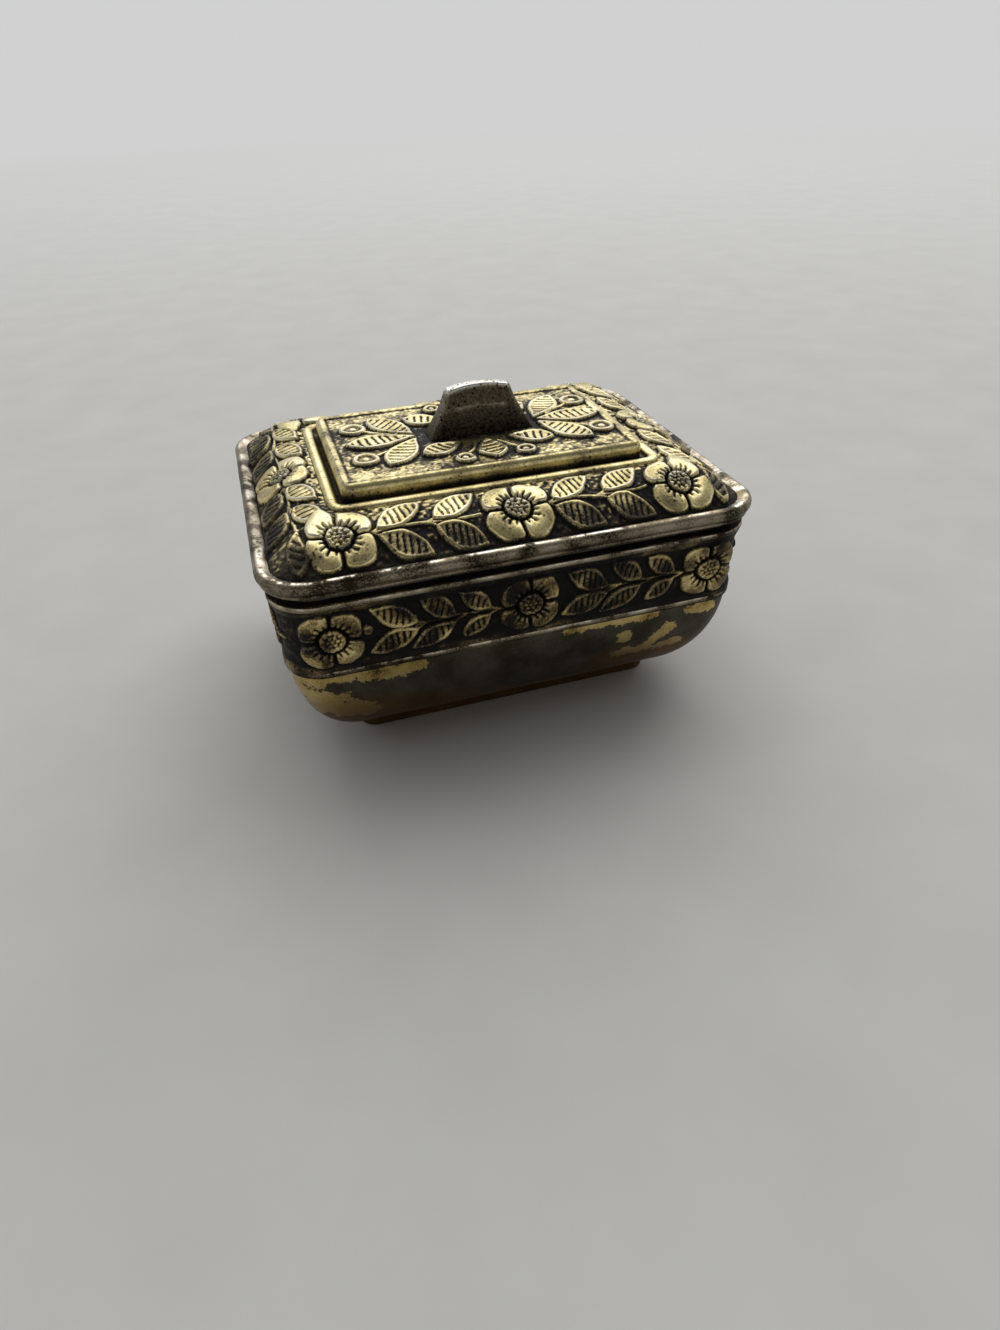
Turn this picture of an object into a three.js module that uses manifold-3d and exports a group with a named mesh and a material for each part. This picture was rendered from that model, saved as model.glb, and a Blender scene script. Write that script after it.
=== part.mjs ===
// Footed trinket box with a lift-off lid, in millimetres, +Z up.
// The origin is the middle of the footprint, on the surface that the foot stands on.
import * as THREE from "three";
import { mergeVertices } from "three/addons/utils/BufferGeometryUtils.js";
import Module from "manifold-3d";

// Lid outline and rim
const lidLength = 80;
const lidWidth = 64.4;
const lidCorner = 8;
const rimHeight = 2.6;
const rimBead = 2;
const rimLipSetback = 0.5;
const rimLipChamfer = 0.15;

// Lid dome, from the rim up to the frame
const lidRise = 4.3;
const lidBulge = 1.1;
const lidWall = 1;
const seatWidth = 2;

// Frame moulding and raised panel on top of the lid
const frameLength = 55.2;
const frameWidth = 38;
const frameCorner = 3.1;
const frameBeadWidth = 1.6;
const frameBeadHeight = 0.6;
const grooveDepth = 0.4;
const panelLength = 50;
const panelWidth = 32.2;
const panelCorner = 1.6;
const panelHeight = 2.7;
const panelEdgeRadius = 0.7;
const panelWall = 1.2;

// Handle and its two rivets
const handleTopLength = 11;
const handleBaseLength = 18.2;
const handleTopThickness = 2.2;
const handleBaseThickness = 4.8;
const handleHeight = 7.4;
const handleCrown = 0.8;
const handleHollow = 1.35;
const handleEdgeRadius = 0.6;
const handleTopEase = 0.35;
const handleOffset = 1.4;
const rivetDiameter = 2;
const rivetSpacing = 9;
const rivetDepth = 2.4;
const rivetHeadDiameter = 3.6;
const rivetHeadHeight = 0.8;

// Body: band, beads, bowl and foot
const lidOverhang = 1;
const lidGap = 1.5;
const bandHeight = 13.2;
const bandTaper = 0.5;
const bandWall = 1;
const beadHeight = 1.2;
const beadDepth = 0.6;
const bowlHeight = 17;
const bowlFullness = 1.8;
const bowlWall = 1;
const footLength = 56;
const footWidth = 37.8;
const footCorner = 3.4;
const footHeight = 3.9;
const footWall = 1.8;
const footFlare = 1;
const footChamfer = 0.25;

// Collar that the lid seats on
const collarWall = 0.8;
const collarRise = 2.9;
const collarDepth = 4;

// Linings
const liningThickness = 0.8;
const liningReach = 0.83;
const padThickness = 1.8;
const padBulge = 1;

// Ornament: flowers and leaves in low relief, rooted in the wall that carries them
const reliefRoot = 0.45;
const petalCount = 4;
const petalNotch = 0.36;
const petalFullness = 0.5;
const petalRise = 0.9;
const petalCleftRise = 0.4;
const petalCrest = 0.78;
const flowerDiscRadius = 2.05;
const flowerDiscTaper = 0.75;
const flowerDiscRise = 1;
const leafRise = 0.6;
const leafHollowRise = 0.3;
const leafRim = 0.6;

// Flower border on the lid's slope: distances along a side from its middle, and up from its lower edge
const borderFlowerRadius = 6.1;
const borderFlowerUp = 5.4;
const borderCornerFlower = 27.1;
const borderLongLeaves = [-21.3, -12.9, 5.8, 14.2];
const borderShortLeaves = [-20.5, -12.5, 5.8, 13.6];
const borderLeafLength = 8.4;
const borderLeafWidth = 4.3;
const borderLeafSpread = 30;
const borderLeafStart = 0.7;
const cornerLeafAlong = 33.8;
const cornerLeafUp = 5.95;
const cornerLeafLength = 5.6;
const cornerLeafWidth = 3.4;

// Flower band on the body: its leaves point the other way round
const bandFlowerRadius = 5.6;
const bandCornerFlower = 31;
const bandLeaves = [-18.8, -12.4, -6, 12.2, 18.6, 25];
const bandLeafLength = 7.4;
const bandLeafWidth = 3.9;
const bandLeafSpread = 28;
const bandLeafStart = 1;

// Sprays on the panel, measured from the handle's middle
const sprayStart = 10.4;
const sprayLeafLength = 12;
const sprayLeafWidth = 5.5;
const sprayLeafAside = 0.8;
const spraySpread = 56;
const sprayBudOut = 20.2;
const sprayBudAside = 6.9;
const sprayBudRadius = 2.3;
const frontLeafLength = 8;
const frontLeafWidth = 5;
const frontLeafStart = 5.6;
const frontLeafAside = 4;
const frontLeafSpread = 66;
const frontBudOut = 11.9;
const frontBudAside = 5;
const frontBudRadius = 1.8;

// Clearances
const seam = 0.1;
const lidClearance = 0.6;
const rivetClearance = 0.2;

// Facets
const cornerSteps = 5;
const beadSteps = 4;
const rimSteps = 6;
const bowlSteps = 6;
const slopeSteps = 4;
const liningSteps = 4;
const handleSteps = 5;
const handleSpans = 4;
const roundSides = 12;
const petalSteps = 4;
const leafSteps = 4;
const budSides = 8;

// Outlines are rounded rectangles seen from above
function outline(length, width, radius) {
  return { length, width, radius };
}

function grow(shape, offset) {
  return outline(
    shape.length + 2 * offset,
    shape.width + 2 * offset,
    shape.radius + offset,
  );
}

function between(first, second, share) {
  return outline(
    THREE.MathUtils.lerp(first.length, second.length, share),
    THREE.MathUtils.lerp(first.width, second.width, share),
    THREE.MathUtils.lerp(first.radius, second.radius, share),
  );
}

// One ring of points round an outline, anticlockwise seen from above, with spans along its front and back
function ringPoints(shape, z, spans = 1) {
  const points = [];
  const middleX = shape.length / 2 - shape.radius;
  const middleY = shape.width / 2 - shape.radius;
  const corners = [[1, 1], [-1, 1], [-1, -1], [1, -1]];
  corners.forEach(([sideX, sideY], quarter) => {
    for (let step = 0; step <= cornerSteps; step += 1) {
      const angle = (quarter + step / cornerSteps) * Math.PI / 2;
      const x = sideX * middleX + shape.radius * Math.cos(angle);
      const y = sideY * middleY + shape.radius * Math.sin(angle);
      points.push(new THREE.Vector3(x, y, z));
    }
    const alongX = sideX === sideY;
    for (let span = 1; alongX && span < spans; span += 1) {
      const x = sideX * middleX * (1 - 2 * span / spans);
      points.push(new THREE.Vector3(x, sideY * shape.width / 2, z));
    }
  });
  return points;
}

// A closed skin through rings of points: either its two ends are capped, or the last ring meets the first.
// A cap is cut into triangles in the plane of its flat ring.
function skin(rings, endless, flatRings = rings) {
  const count = rings[0].length;
  const positions = rings.flat().flatMap((point) => [point.x, point.y, point.z]);
  const index = [];
  const spans = endless ? rings.length : rings.length - 1;
  for (let span = 0; span < spans; span += 1) {
    const low = span * count;
    const high = ((span + 1) % rings.length) * count;
    for (let side = 0; side < count; side += 1) {
      const next = (side + 1) % count;
      index.push(low + side, low + next, high + next);
      index.push(low + side, high + next, high + side);
    }
  }
  if (!endless) {
    const last = (rings.length - 1) * count;
    const flat = (point) => new THREE.Vector2(point.x, point.y);
    const capOf = (ring) => THREE.ShapeUtils.triangulateShape(ring.map(flat), []);
    capOf(flatRings[0]).forEach(([a, b, c]) => index.push(a, c, b));
    capOf(flatRings.at(-1)).forEach(([a, b, c]) => index.push(last + a, last + b, last + c));
  }
  const geometry = new THREE.BufferGeometry();
  geometry.setAttribute("position", new THREE.Float32BufferAttribute(positions, 3));
  geometry.setIndex(index);
  return geometry;
}

// A section is an outline at a height. Sections run from the underside outwards, up and back in.
function section(shape, z) {
  return { shape, z };
}

function shell(sections) {
  return skin(sections.map(({ shape, z }) => ringPoints(shape, z)), false);
}

function hoop(sections) {
  return skin(sections.map(({ shape, z }) => ringPoints(shape, z)), true);
}

// Values from 0 to 1 in equal steps, both ends included
function shares(steps) {
  return Array.from({ length: steps + 1 }, (_, step) => step / steps);
}

// Cuts and joins
const wasm = await Module();
wasm.setup();

function toSolid(geometry) {
  const bare = geometry.clone();
  bare.deleteAttribute("normal");
  bare.deleteAttribute("uv");
  const merged = mergeVertices(bare);
  return new wasm.Manifold(new wasm.Mesh({
    numProp: 3,
    vertProperties: new Float32Array(merged.attributes.position.array),
    triVerts: new Uint32Array(merged.index.array),
  }));
}

function toGeometry(solid) {
  const mesh = solid.getMesh();
  const geometry = new THREE.BufferGeometry();
  geometry.setAttribute("position", new THREE.Float32BufferAttribute(mesh.vertProperties, 3));
  geometry.setIndex(new THREE.BufferAttribute(mesh.triVerts, 1));
  return geometry;
}

function shaped(geometry, additions, tools) {
  let solid = toSolid(geometry);
  additions.forEach((addition) => {
    solid = solid.add(toSolid(addition));
  });
  tools.forEach((tool) => {
    solid = solid.subtract(toSolid(tool));
  });
  return toGeometry(solid);
}

// A turned piece on a vertical axis, from [radius, height] pairs that start and end on the axis
function turned(profile, x) {
  const points = profile.map(([radius, z]) => new THREE.Vector2(radius, z));
  const geometry = new THREE.LatheGeometry(points, roundSides);
  geometry.rotateX(Math.PI / 2);
  geometry.translate(x, 0, 0);
  return geometry;
}

// Heights
const bowlBottom = footHeight + seam;
const bowlTop = bowlBottom + bowlHeight;
const bandBottom = bowlTop + seam;
const bandTop = bandBottom + bandHeight;
const lidEdge = bandTop + lidGap;
const rimTop = lidEdge + rimHeight;
const collarTop = bandTop + collarRise;
const collarBottom = bandTop - collarDepth;
const seatHeight = collarTop + seam;
const slopeStart = rimTop - rimBead / 4;
const slopeEnd = slopeStart + lidRise;
const deckTop = slopeEnd - grooveDepth;
const deckUnder = deckTop - lidWall;
const panelBottom = deckTop + seam;
const panelTop = panelBottom + panelHeight;
const handleBottom = panelTop + seam;
const bowlFloor = bowlBottom + bowlWall;

// Outlines that several pieces share
const lidOutline = outline(lidLength, lidWidth, lidCorner);
const frameOutline = outline(frameLength, frameWidth, frameCorner);
const panelOutline = outline(panelLength, panelWidth, panelCorner);
const footOutline = outline(footLength, footWidth, footCorner);
const bandTopOutline = grow(lidOutline, -(lidOverhang + beadDepth));
const bandBottomOutline = grow(bandTopOutline, -bandTaper);
const bowlBottomOutline = grow(footOutline, footFlare);

function bandOutlineAt(z) {
  return between(bandBottomOutline, bandTopOutline, (z - bandBottom) / bandHeight);
}

const collarOutline = grow(bandOutlineAt(collarBottom), -(bandWall + seam));
const rimInnerOutline = grow(collarOutline, lidClearance);
const lidEdgeOutline = grow(rimInnerOutline, -seam);
const seatInnerOutline = grow(lidEdgeOutline, -seatWidth);

// A point on one side of an outline, at a distance from the side's middle, and the way out there.
// Sides run anticlockwise: front, right, back, left. Distances past a side's end run on round its corner.
function sidePoint(shape, side, along) {
  const [length, depth] = side % 2 === 0 ? [shape.length, shape.width] : [shape.width, shape.length];
  const straight = length / 2 - shape.radius;
  const onStraight = THREE.MathUtils.clamp(along, -straight, straight);
  const angle = (along - onStraight) / shape.radius;
  const upright = new THREE.Vector3(0, 0, 1);
  const turn = side * Math.PI / 2;
  const out = new THREE.Vector3(Math.sin(angle), -Math.cos(angle), 0);
  const corner = new THREE.Vector3(onStraight, shape.radius - depth / 2, 0);
  const point = corner.addScaledVector(out, shape.radius);
  return { point: point.applyAxisAngle(upright, turn), out: out.applyAxisAngle(upright, turn) };
}

// Places for ornament. Each takes a distance along, a distance up and a height off the surface.
function onBorder(side) {
  const run = (lidEdgeOutline.width - frameOutline.width) / 2;
  const slopeLength = Math.hypot(run, lidRise);
  return (along, up, rise) => {
    const share = up / slopeLength;
    const { point, out } = sidePoint(between(lidEdgeOutline, frameOutline, share), side, along);
    const steepness = lidRise + lidBulge * Math.PI * Math.cos(Math.PI * share);
    const normal = out.multiplyScalar(steepness).setZ(run).normalize();
    return point.setZ(slopeHeight(share)).addScaledVector(normal, rise);
  };
}

function onBand(side) {
  return (along, up, rise) => {
    const { point, out } = sidePoint(bandOutlineAt(bandBottom + up), side, along);
    return point.setZ(bandBottom + up).addScaledVector(out, rise);
  };
}

function onPanel(x, y, rise) {
  return new THREE.Vector3(handleOffset + x, y, panelTop + rise);
}

// One form in relief: flat rings with a height each, turned, moved to a place and laid on it
function relief(rings, surface, along, up, degrees) {
  const centre = new THREE.Vector2();
  const turn = THREE.MathUtils.degToRad(degrees);
  const swing = (point) => point.clone().rotateAround(centre, turn);
  const flatRings = rings.map(({ points }) => points.map(swing));
  const laid = rings.map(({ rise }, ring) => flatRings[ring].map((point, place) => {
    const height = Array.isArray(rise) ? rise[place] : rise;
    return surface(along + point.x, up + point.y, height);
  }));
  return skin(laid, false, flatRings);
}

function scaled(points, factor, middle) {
  return points.map((point) => point.clone().sub(middle).multiplyScalar(factor).add(middle));
}

function circle(radius, sides) {
  return shares(sides).slice(1).map((share) => {
    const angle = 2 * Math.PI * share;
    return new THREE.Vector2(radius * Math.cos(angle), radius * Math.sin(angle));
  });
}

// Flower: bulging petals with clefts between them, round a raised disc
function flower(surface, along, up, radius) {
  const sides = petalCount * petalSteps;
  const middle = new THREE.Vector2();
  const lobes = shares(sides).slice(1).map((share) => {
    return Math.abs(Math.sin(Math.PI * petalCount * share)) ** petalFullness;
  });
  const outer = circle(1, sides).map((point, place) => {
    return point.multiplyScalar(radius * (1 - petalNotch * (1 - lobes[place])));
  });
  const crest = lobes.map((lobe) => THREE.MathUtils.lerp(petalCleftRise, petalRise, lobe));
  return relief([
    { points: outer, rise: -reliefRoot },
    { points: scaled(outer, petalCrest, middle), rise: crest },
    { points: circle(flowerDiscRadius, sides), rise: petalCleftRise },
    { points: circle(flowerDiscRadius * flowerDiscTaper, sides), rise: flowerDiscRise },
  ], surface, along, up, 90);
}

// A hollowed form with a raised rim
function rimmed(points, width, surface, along, up, degrees) {
  const middle = new THREE.Vector2();
  points.forEach((point) => middle.addScaledVector(point, 1 / points.length));
  const rimShare = 1 - 2 * leafRim / width;
  return relief([
    { points, rise: -reliefRoot },
    { points: scaled(points, 1 - leafRim / width, middle), rise: leafRise },
    { points: scaled(points, rimShare, middle), rise: leafHollowRise },
  ], surface, along, up, degrees);
}

// Leaf: an almond that starts at its stalk and points the way it is turned
function leaf(surface, along, up, length, width, degrees) {
  const edge = shares(leafSteps).map((share) => {
    return new THREE.Vector2(length * share, -Math.sin(Math.PI * share) * width / 2);
  });
  const back = edge.slice(1, -1).reverse().map((point) => new THREE.Vector2(point.x, -point.y));
  return rimmed([...edge, ...back], width, surface, along, up, degrees);
}

function bud(surface, along, up, radius) {
  return rimmed(circle(radius, budSides), 2 * radius, surface, along, up, 0);
}

// Rounded rim round the lid, with a thin lip below it
function lidRim() {
  const beadRadius = rimBead / 2;
  const beadHeightAt = rimTop - beadRadius;
  const lipAngle = -Math.acos(1 - rimLipSetback / beadRadius);
  const innerAngle = 2 * Math.PI / 3;
  const lip = grow(lidOutline, -rimLipSetback);
  const bead = shares(rimSteps).map((share) => {
    const angle = THREE.MathUtils.lerp(lipAngle, innerAngle, share);
    const inset = beadRadius * (1 - Math.cos(angle));
    return section(grow(lidOutline, -inset), beadHeightAt + beadRadius * Math.sin(angle));
  });
  return hoop([
    section(rimInnerOutline, lidEdge),
    section(grow(lip, -rimLipChamfer), lidEdge),
    section(lip, lidEdge + rimLipChamfer),
    ...bead,
    section(rimInnerOutline, slopeStart),
  ]);
}

// The slope between the rim and the frame bulges a little above a straight line
function slopeHeight(share) {
  return slopeStart + lidRise * share + lidBulge * Math.sin(Math.PI * share);
}

function slopeSection(share) {
  return section(between(lidEdgeOutline, frameOutline, share), slopeHeight(share));
}

// Half-round moulding, as sections from its outer edge to its inner one
function frameSections() {
  return shares(beadSteps).map((share) => {
    const inset = frameBeadWidth * (1 - Math.cos(Math.PI * share)) / 2;
    const rise = frameBeadHeight * Math.sin(Math.PI * share);
    return section(grow(frameOutline, -inset), slopeEnd + rise);
  });
}

// Flower border: three flowers on a long side, one on a short side, and pairs of leaves on a stem between
function borderRelief() {
  const forms = [];
  for (let side = 0; side < 4; side += 1) {
    const surface = onBorder(side);
    const long = side % 2 === 0;
    const flowers = long ? [-borderCornerFlower, 0, borderCornerFlower] : [0];
    const pairs = long ? borderLongLeaves : borderShortLeaves;
    flowers.forEach((along) => forms.push(flower(surface, along, borderFlowerUp, borderFlowerRadius)));
    pairs.forEach((along) => [-1, 1].forEach((way) => {
      const start = borderFlowerUp + way * borderLeafStart;
      forms.push(leaf(surface, along, start, borderLeafLength, borderLeafWidth, way * borderLeafSpread));
    }));
    if (long) {
      forms.push(leaf(surface, -cornerLeafAlong, cornerLeafUp, cornerLeafLength, cornerLeafWidth, -90));
      forms.push(leaf(surface, cornerLeafAlong, cornerLeafUp, cornerLeafLength, cornerLeafWidth, -90));
    }
  }
  return forms;
}

// Domed lid: its seat, the slope with its frame, and the flat deck that carries the panel
function lidShell() {
  const frameInner = grow(frameOutline, -frameBeadWidth);
  const deckInner = grow(frameOutline, -lidWall);
  const underside = shares(slopeSteps).map((share) => {
    const rise = (deckUnder - seatHeight) * share + lidBulge * Math.sin(Math.PI * share);
    return section(between(deckInner, seatInnerOutline, 1 - share), seatHeight + rise);
  });
  const body = shell([
    ...underside.reverse(),
    section(lidEdgeOutline, seatHeight),
    ...shares(slopeSteps).map(slopeSection),
    ...frameSections().slice(1),
    section(grow(frameInner, -grooveDepth), deckTop),
  ]);
  return shaped(body, borderRelief(), rivetHoles());
}

// Sprays on the panel: three leaves and two buds off each end and each face of the handle
function panelRelief() {
  const forms = [];
  [-1, 1].forEach((way) => {
    const outward = way > 0 ? 0 : 180;
    [-1, 0, 1].forEach((place) => {
      const x = way * sprayStart;
      const y = way * place * sprayLeafAside;
      const degrees = outward + place * spraySpread;
      forms.push(leaf(onPanel, x, y, sprayLeafLength, sprayLeafWidth, degrees));
    });
    const towards = way > 0 ? 90 : -90;
    [-1, 0, 1].forEach((place) => {
      const x = -way * place * frontLeafAside;
      const degrees = towards + place * frontLeafSpread;
      forms.push(leaf(onPanel, x, way * frontLeafStart, frontLeafLength, frontLeafWidth, degrees));
    });
    [-1, 1].forEach((aside) => {
      forms.push(bud(onPanel, way * sprayBudOut, aside * sprayBudAside, sprayBudRadius));
      forms.push(bud(onPanel, aside * frontBudAside, way * frontBudOut, frontBudRadius));
    });
  });
  return forms;
}

// Raised panel: a hollow-backed plate with a rounded upper edge
function lidPanel() {
  const cavity = grow(panelOutline, -panelWall);
  const cavityRoof = panelTop - panelWall;
  const edge = shares(beadSteps / 2).map((share) => {
    const angle = share * Math.PI / 2;
    const inset = panelEdgeRadius * (1 - Math.cos(angle));
    return section(grow(panelOutline, -inset), panelTop - panelEdgeRadius * (1 - Math.sin(angle)));
  });
  const body = shell([
    section(cavity, cavityRoof),
    section(cavity, panelBottom),
    section(panelOutline, panelBottom),
    ...edge,
  ]);
  return shaped(body, panelRelief(), rivetHoles());
}

// Handle: a tapered tab with hollowed sides, a crowned top and eased top edges
function handleRing(share, inset) {
  const hollow = (1 - share) ** handleHollow;
  const length = THREE.MathUtils.lerp(handleTopLength, handleBaseLength, hollow) - 2 * inset;
  const thickness = THREE.MathUtils.lerp(handleTopThickness, handleBaseThickness, hollow) - 2 * inset;
  const shape = outline(length, thickness, handleEdgeRadius);
  const ring = ringPoints(shape, handleBottom + handleHeight * share, handleSpans);
  return ring.map((point) => {
    const fromMiddle = point.x / (length / 2);
    const crown = handleCrown * share ** 2 * (1 - fromMiddle ** 2);
    return new THREE.Vector3(point.x + handleOffset, point.y, point.z + crown);
  });
}

function handle() {
  const easeStart = 1 - handleTopEase / handleHeight;
  const sides = shares(handleSteps).map((share) => handleRing(easeStart * share, 0));
  const body = skin([...sides, handleRing(1, handleTopEase)], false);
  return shaped(body, [], rivetHoles());
}

// Rivets run from sockets in the handle down through the panel and the deck
const rivetPlaces = [-1, 1].map((side) => handleOffset + side * rivetSpacing / 2);
const rivetTop = handleBottom + rivetDepth;

function rivetHoles() {
  const radius = rivetDiameter / 2 + rivetClearance;
  const below = deckUnder - rivetHeadHeight;
  const top = rivetTop + rivetClearance;
  return rivetPlaces.map((x) => turned([[0, below], [radius, below], [radius, top], [0, top]], x));
}

function rivet(x) {
  const radius = rivetDiameter / 2;
  const headRadius = rivetHeadDiameter / 2;
  const headTop = deckUnder - seam;
  const headBottom = headTop - rivetHeadHeight;
  return turned([
    [0, headBottom],
    [headRadius - rivetHeadHeight, headBottom],
    [headRadius, headTop - rivetHeadHeight / 3],
    [headRadius, headTop],
    [radius, headTop],
    [radius, rivetTop],
    [0, rivetTop],
  ], x);
}

// Soft lining that follows the underside of the lid and hides the rivet heads
function lidLining() {
  const drop = 2 * seam + rivetHeadHeight;
  const edge = grow(seatInnerOutline, -seam);
  const centre = grow(frameOutline, -(lidWall + drop));
  const upper = shares(liningSteps).map((share) => {
    const rise = (deckUnder - drop - seatHeight) * share + (lidBulge - seam) * Math.sin(Math.PI * share);
    return section(between(edge, centre, share), seatHeight + rise);
  });
  const lower = upper.map(({ shape, z }) => section(grow(shape, -seam), z - liningThickness));
  return shell([...lower.reverse(), ...upper]);
}

// Collar: a strip inside the band that stands up into the lid
function collar() {
  const inner = grow(collarOutline, -collarWall);
  const eased = collarWall / 4;
  return hoop([
    section(inner, collarBottom),
    section(collarOutline, collarBottom),
    section(collarOutline, collarTop - eased),
    section(grow(collarOutline, -eased), collarTop),
    section(grow(inner, eased), collarTop),
    section(inner, collarTop - eased),
  ]);
}

// Flower band: a flower at each corner and in the middle of each side, with pairs of leaves between
function bandRelief() {
  const middle = bandHeight / 2;
  const forms = [];
  for (let side = 0; side < 4; side += 1) {
    const surface = onBand(side);
    const flowers = side % 2 === 0 ? [-bandCornerFlower, 0, bandCornerFlower] : [0];
    flowers.forEach((along) => forms.push(flower(surface, along, middle, bandFlowerRadius)));
    bandLeaves.forEach((along) => [-1, 1].forEach((way) => {
      const start = middle + way * bandLeafStart;
      forms.push(leaf(surface, along, start, bandLeafLength, bandLeafWidth, 180 - way * bandLeafSpread));
    }));
  }
  return forms;
}

// Band: the upright wall of the body
function bodyBand() {
  const wall = hoop([
    section(grow(bandBottomOutline, -bandWall), bandBottom),
    section(bandBottomOutline, bandBottom),
    section(bandTopOutline, bandTop),
    section(grow(bandTopOutline, -bandWall), bandTop),
  ]);
  return shaped(wall, bandRelief(), []);
}

// Half-round wire round the outside of the band, centred on a height
function bandBead(middle) {
  const wire = shares(beadSteps).map((share) => {
    const angle = (share - 0.5) * Math.PI;
    const z = middle + Math.sin(angle) * beadHeight / 2;
    const proud = seam + (beadDepth - seam) * Math.cos(angle);
    return section(grow(bandOutlineAt(middle), proud + bandTaper * beadHeight / bandHeight), z);
  });
  return hoop(wire);
}

// Bowl: a superellipse curve from the band in to the foot
function bowlShare(step) {
  const angle = step * Math.PI / 2;
  return {
    inward: 1 - Math.cos(angle) ** (2 / bowlFullness),
    down: Math.sin(angle) ** (2 / bowlFullness),
  };
}

function bowlOuter(step) {
  const { inward, down } = bowlShare(step);
  return section(between(bandBottomOutline, bowlBottomOutline, inward), bowlTop - bowlHeight * down);
}

function bowlInner(step) {
  const { inward, down } = bowlShare(step);
  const shape = between(bandBottomOutline, bowlBottomOutline, inward);
  return section(grow(shape, -bowlWall), bowlTop - (bowlHeight - bowlWall) * down);
}

function bowl() {
  return shell([
    ...shares(bowlSteps).reverse().map(bowlOuter),
    ...shares(bowlSteps).map(bowlInner),
  ]);
}

// Foot: a plain upright ring that flares into the bowl
function footRing() {
  const inner = grow(footOutline, -footWall);
  const flareStart = footHeight / 2;
  const flare = shares(beadSteps / 2).map((share) => {
    const rise = (footHeight - flareStart) * share;
    return section(grow(footOutline, footFlare * share ** 2), flareStart + rise);
  });
  return hoop([
    section(inner, 0),
    section(grow(footOutline, -footChamfer), 0),
    section(footOutline, footChamfer),
    ...flare,
    section(inner, footHeight),
  ]);
}

// Soft pad on the floor of the bowl
function floorPad() {
  const floor = grow(bowlBottomOutline, -bowlWall);
  const bottom = bowlFloor + seam;
  return shell([
    section(floor, bottom),
    section(grow(floor, padBulge), bottom + padThickness / 2),
    section(grow(floor, -padBulge), bottom + padThickness),
  ]);
}

// Soft lining up the inside of the bowl and the band, from the pad to the collar
function wallLining() {
  const inBowl = shares(liningSteps).map((share) => {
    const { shape, z } = bowlInner(liningReach * (1 - share));
    return section(grow(shape, -seam), z + seam);
  });
  const top = collarBottom - seam;
  const outer = [...inBowl, section(grow(bandOutlineAt(top), -(bandWall + 2 * seam)), top)];
  const inner = outer.map(({ shape, z }) => section(grow(shape, -liningThickness), z));
  return hoop([...outer, ...inner.reverse()]);
}

// Finishes
function finish(color, roughness, metalness) {
  return () => new THREE.MeshStandardMaterial({ color, roughness, metalness });
}

const agedGilt = finish(0xc2a25a, 0.42, 1);
const wornMetal = finish(0x8f8a80, 0.45, 1);
const pittedMetal = finish(0x6b6152, 0.55, 1);
const velvet = finish(0x8a6f3c, 0.95, 0);

function piece(name, geometry, material) {
  const mesh = new THREE.Mesh(geometry, material());
  mesh.name = name;
  return mesh;
}

const lidGroup = new THREE.Group();
lidGroup.add(
  piece("lid_shell", lidShell(), agedGilt),
  piece("lid_rim", lidRim(), wornMetal),
  piece("lid_panel", lidPanel(), agedGilt),
  piece("handle", handle(), pittedMetal),
  piece("handle_rivet_left", rivet(rivetPlaces[0]), wornMetal),
  piece("handle_rivet_right", rivet(rivetPlaces[1]), wornMetal),
  piece("lid_lining", lidLining(), velvet),
);

const bodyGroup = new THREE.Group();
bodyGroup.add(
  piece("collar", collar(), wornMetal),
  piece("body_band", bodyBand(), agedGilt),
  piece("band_upper_bead", bandBead(bandTop - beadHeight / 2), wornMetal),
  piece("band_lower_bead", bandBead(bandBottom + beadHeight / 2), wornMetal),
  piece("bowl", bowl(), wornMetal),
  piece("foot_ring", footRing(), wornMetal),
  piece("floor_pad", floorPad(), velvet),
  piece("wall_lining", wallLining(), velvet),
);

const box = new THREE.Group();
box.add(lidGroup, bodyGroup);

export default box;
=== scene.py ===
import functools
import math
import bmesh
import bpy
import numpy as np
from mathutils import Matrix, Vector


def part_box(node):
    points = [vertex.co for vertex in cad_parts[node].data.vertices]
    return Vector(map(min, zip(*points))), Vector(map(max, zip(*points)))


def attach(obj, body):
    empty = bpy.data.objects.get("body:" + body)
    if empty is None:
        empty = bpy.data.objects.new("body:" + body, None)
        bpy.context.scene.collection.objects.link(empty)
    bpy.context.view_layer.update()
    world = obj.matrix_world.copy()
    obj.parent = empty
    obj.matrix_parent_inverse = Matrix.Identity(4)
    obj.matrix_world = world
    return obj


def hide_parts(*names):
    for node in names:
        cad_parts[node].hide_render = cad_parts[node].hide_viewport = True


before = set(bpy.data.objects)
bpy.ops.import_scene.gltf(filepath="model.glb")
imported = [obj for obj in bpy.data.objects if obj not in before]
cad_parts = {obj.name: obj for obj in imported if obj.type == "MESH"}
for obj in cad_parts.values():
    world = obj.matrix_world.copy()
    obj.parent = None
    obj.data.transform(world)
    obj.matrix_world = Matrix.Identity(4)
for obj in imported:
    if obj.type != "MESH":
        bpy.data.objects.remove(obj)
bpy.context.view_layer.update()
mm = 0.001  # sizes are written in millimetres, and Blender works in metres
print("frame loaded:", len(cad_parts), "CAD nodes")


# Small helpers

def linear(hexColour):  # sRGB hex to a linear colour
    parts = [int(hexColour[place:place + 2], 16) / 255 for place in (1, 3, 5)]
    return [part / 12.92 if part <= 0.04045 else ((part + 0.055) / 1.055) ** 2.4 for part in parts] + [1.0]


def feed(node, links):  # other nodes' outputs or plain values, into a node's sockets
    for socket, value in links.items():
        if isinstance(value, bpy.types.NodeSocket):
            node.id_data.links.new(value, node.inputs[socket])
        else:
            node.inputs[socket].default_value = value


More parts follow.
